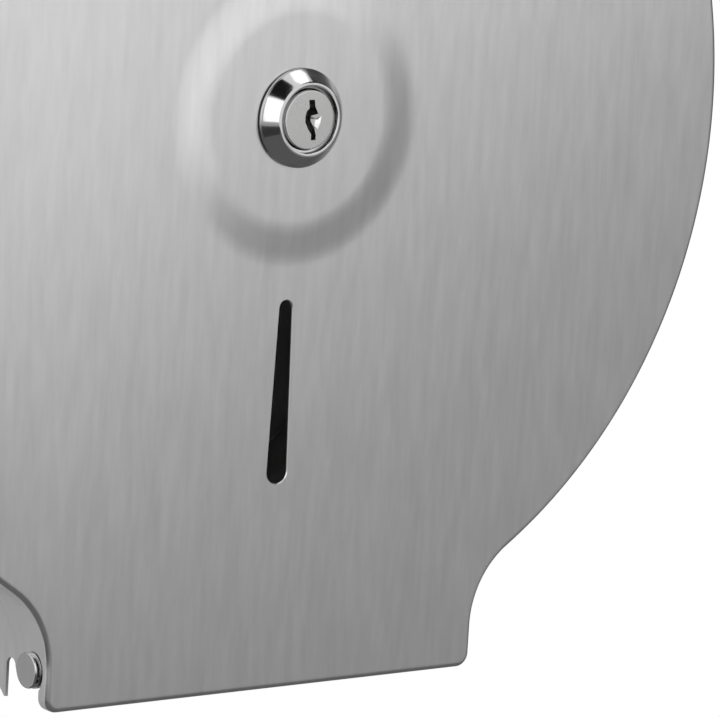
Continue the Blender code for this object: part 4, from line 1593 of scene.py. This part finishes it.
@dataclass(frozen=True)
class Card:
    """A plain board or soft box beside the dispenser, which only reflections show."""

    name: str
    place: tuple[float, float, float]
    aim: tuple[float, float, float]
    size: tuple[float, float]
    tone: float
    turn: float = 0.0

    def build(self) -> None:
        """Stands the board at its place, square to its aim and turned about that line."""
        way = (Vector(self.aim) - Vector(self.place)).normalized()
        across = Vector((0, 0, 1)).cross(way).normalized()
        across = Matrix.Rotation(math.radians(self.turn), 3, way) @ across
        up = way.cross(across)
        wide, tall = across * self.size[0] / 2, up * self.size[1] / 2
        middle = Vector(self.place)
        loop = [middle - wide - tall, middle + wide - tall, middle + wide + tall, middle - wide + tall]
        mesh = bpy.data.meshes.new(self.name)
        mesh.from_pydata(loop, [], [(0, 1, 2, 3)])
        material, _ = new_material(self.name, {})
        tree = material.node_tree
        glow = add_node(tree, "ShaderNodeEmission", {"Color": (1, 1, 1, 1), "Strength": self.tone}, {})
        tree.links.new(glow.outputs[0], tree.nodes["Material Output"].inputs["Surface"])
        mesh.materials.append(material)
        board = bpy.data.objects.new(self.name, mesh)
        board.visible_camera = False
        board.visible_diffuse = False
        board.visible_transmission = False
        board.visible_shadow = False
        bpy.context.scene.collection.objects.link(board)
        board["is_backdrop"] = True


@dataclass
class Studio:
    """Floor, light and camera."""

    eye: tuple[float, float, float] = (-0.66562, -1.01671, 0.12415)
    ahead: tuple[float, float, float] = (0.60144, 0.78247, -0.16126)
    above: tuple[float, float, float] = (0.05062, 0.16412, 0.98514)
    lens_mm: float = 231.1
    sensor_mm: float = 36.0
    floor_drop: float = 0.90
    floor_half: float = 6.0
    room_strength: float = 0.55
    cards: tuple[Card, ...] = (
        Card("card in front", (0.422, -0.372, -0.646), (0, -0.12, -0.04), (2.14, 1.66), 0.294, -55),
        Card("card on the right", (0.760, 0.120, 0.200), (0, -0.12, 0.200), (1.30, 2.0), 0.07),
        Card("card on the left", (-0.576, -0.276, -0.450), (0, -0.12, -0.45), (1.15, 0.36), 0.05),
        Card("card low on the left", (-1.23, -0.79, -0.60), (0, -0.12, -0.60), (2.20, 0.29), 0.05),
        Card("card by the camera", (-0.083, -0.714, -0.410), (0, -0.12, -0.41), (0.5, 0.5), 0.20),
        Card("card below", (0.014, -0.197, -0.483), (0, -0.12, -0.04), (1.4, 1.0), 0.13),
        Card("card behind", (-0.17, 0.400, -0.330), (-0.17, 0, -0.330), (1.04, 0.8), 0.42),
        Card("card far to the left", (-1.47, -0.82, -0.12), (0, -0.12, 0), (1.30, 2.20), 0.45),
        Card("card above on the right", (0.385, -0.450, 0.380), (-0.06, -0.12, -0.13), (0.35, 0.50), 0.03),
        Card("small card", (-0.250, -0.275, 0.440), (0, -0.12, 0), (0.30, 0.36), 0.01),
        Card("soft box above", (0.190, -0.165, 0.560), (0, -0.12, 0), (0.30, 0.24), 1.8),
        Card("soft box on the left", (-0.480, -0.420, 0.130), (0, -0.12, 0), (0.24, 0.48), 1.8),
    )

    def camera(self) -> None:
        """Puts the camera at the eye, looking ahead."""
        data = bpy.data.cameras.new("camera")
        data.lens = self.lens_mm
        data.sensor_width = self.sensor_mm
        data.clip_start = 0.05
        data.clip_end = 50
        camera = bpy.data.objects.new("camera", data)
        ahead = Vector(self.ahead).normalized()
        above = Vector(self.above)
        right = ahead.cross(above).normalized()
        above = right.cross(ahead)
        turn = Matrix((right, above, -ahead)).transposed().to_4x4()
        camera.matrix_world = Matrix.Translation(self.eye) @ turn
        bpy.context.scene.collection.objects.link(camera)
        bpy.context.scene.camera = camera

    def white_where_seen(self, tree: bpy.types.NodeTree, other: bpy.types.NodeSocket) -> bpy.types.Node:
        """Mixes plain white over a shader for the rays that show a background or reflect one.

        Args:
            tree: The node tree.
            other: The shader for the other rays.

        Returns:
            The mix node.
        """
        path = add_node(tree, "ShaderNodeLightPath", {}, {})
        seen = path.outputs["Is Camera Ray"]
        for ray in ("Is Glossy Ray", "Is Transmission Ray"):
            links = {0: seen, 1: path.outputs[ray]}
            seen = add_node(tree, "ShaderNodeMath", {"operation": "MAXIMUM"}, links).outputs[0]
        kind = "ShaderNodeBackground" if other.node.type == "BACKGROUND" else "ShaderNodeEmission"
        white = add_node(tree, kind, {"Color": (1, 1, 1, 1), "Strength": 1.0}, {})
        return add_node(tree, "ShaderNodeMixShader", {}, {0: seen, 1: other, 2: white.outputs[0]})

    def floor(self) -> None:
        """A wide pale floor well below the dispenser, white to the camera."""
        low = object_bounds()[0].z - self.floor_drop
        corner = np.array([[-1, -1, 0], [1, -1, 0], [1, 1, 0], [-1, 1, 0]]) * self.floor_half
        mesh = bpy.data.meshes.new("floor")
        mesh.from_pydata((corner + (0, 0, low)).tolist(), [], [(0, 1, 2, 3)])
        material, shader = new_material("pale floor", {"Base Color": linear("E6E6E4"), "Roughness": 0.8})
        tree = material.node_tree
        mixed = self.white_where_seen(tree, shader.outputs[0])
        output = tree.nodes["Material Output"]
        tree.links.new(mixed.outputs[0], output.inputs["Surface"])
        mesh.materials.append(material)
        floor = bpy.data.objects.new("floor", mesh)
        bpy.context.scene.collection.objects.link(floor)
        floor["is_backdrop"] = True

    def world(self) -> None:
        """A soft even room, white to the camera."""
        world = bpy.data.worlds.new("room")
        world.use_nodes = True
        tree = world.node_tree
        room = tree.nodes["Background"]
        room.inputs["Color"].default_value = (1, 1, 1, 1)
        room.inputs["Strength"].default_value = self.room_strength
        mixed = self.white_where_seen(tree, room.outputs[0])
        tree.links.new(mixed.outputs[0], tree.nodes["World Output"].inputs["Surface"])
        bpy.context.scene.world = world

    def lamp(self, name: str, place: tuple, aim: tuple, size: tuple, power: float) -> None:
        """A soft box.

        Args:
            name: Its name.
            place: Where its middle stands.
            aim: The point that it faces.
            size: Its width and height in metres.
            power: Its power in watts.
        """
        data = bpy.data.lights.new(name, "AREA")
        data.shape = "RECTANGLE"
        data.size, data.size_y = size
        data.energy = power
        lamp = bpy.data.objects.new(name, data)
        way = Vector(aim) - Vector(place)
        lamp.location = place
        lamp.rotation_euler = way.to_track_quat("-Z", "Y").to_euler()
        lamp.visible_glossy = False
        bpy.context.scene.collection.objects.link(lamp)

    def build(self) -> None:
        """Sets the stage."""
        self.floor()
        self.world()
        self.lamp("key", (0.10, -0.75, 0.55), (-0.05, -0.12, 0.05), (0.7, 0.5), 5.0)
        self.lamp("top", (-0.2, -0.1, 1.0), (0, -0.06, 0), (1.0, 0.6), 4.0)
        for card in self.cards:
            card.build()
        bpy.context.scene.view_settings.view_transform = "Standard"


def corners(box: tuple[Vector, Vector]) -> list[list[float]]:
    """A box's corners as plain lists."""
    return [list(corner) for corner in box]


def main() -> None:
    """Builds the camera, the pieces and the studio, in that order."""
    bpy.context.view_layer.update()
    finishes = Finishes()
    studio = Studio()
    studio.camera()
    hinge = next(joint for joint in frame["joints"] if joint["name"] == "cover_hinge")
    pivot = (hinge["pos_m"][1], hinge["pos_m"][2])
    low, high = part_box("front_cover")
    half_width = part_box("hinge_bracket_right")[1].x + BackPlate.inset
    silhouette = Silhouette(high.z, half_width, low.z, pivot[1])
    FrontCover(finishes, silhouette, low.y + FrontCover.boss_room, pivot).build()
    SideBand(finishes, silhouette, pivot).build()
    BackPlate(finishes, silhouette).build()
    Hinge(finishes, silhouette, pivot).build()
    Spindle(finishes).build()
    RollHub(finishes).build()
    CamLock(finishes, -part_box("lock_body")[0].y - CamLock.height).build()
    CamGroup(finishes).build()
    studio.build()


if __name__ == "__main__":
    logging.basicConfig(level=logging.INFO, format="%(name)s: %(message)s")
    main()
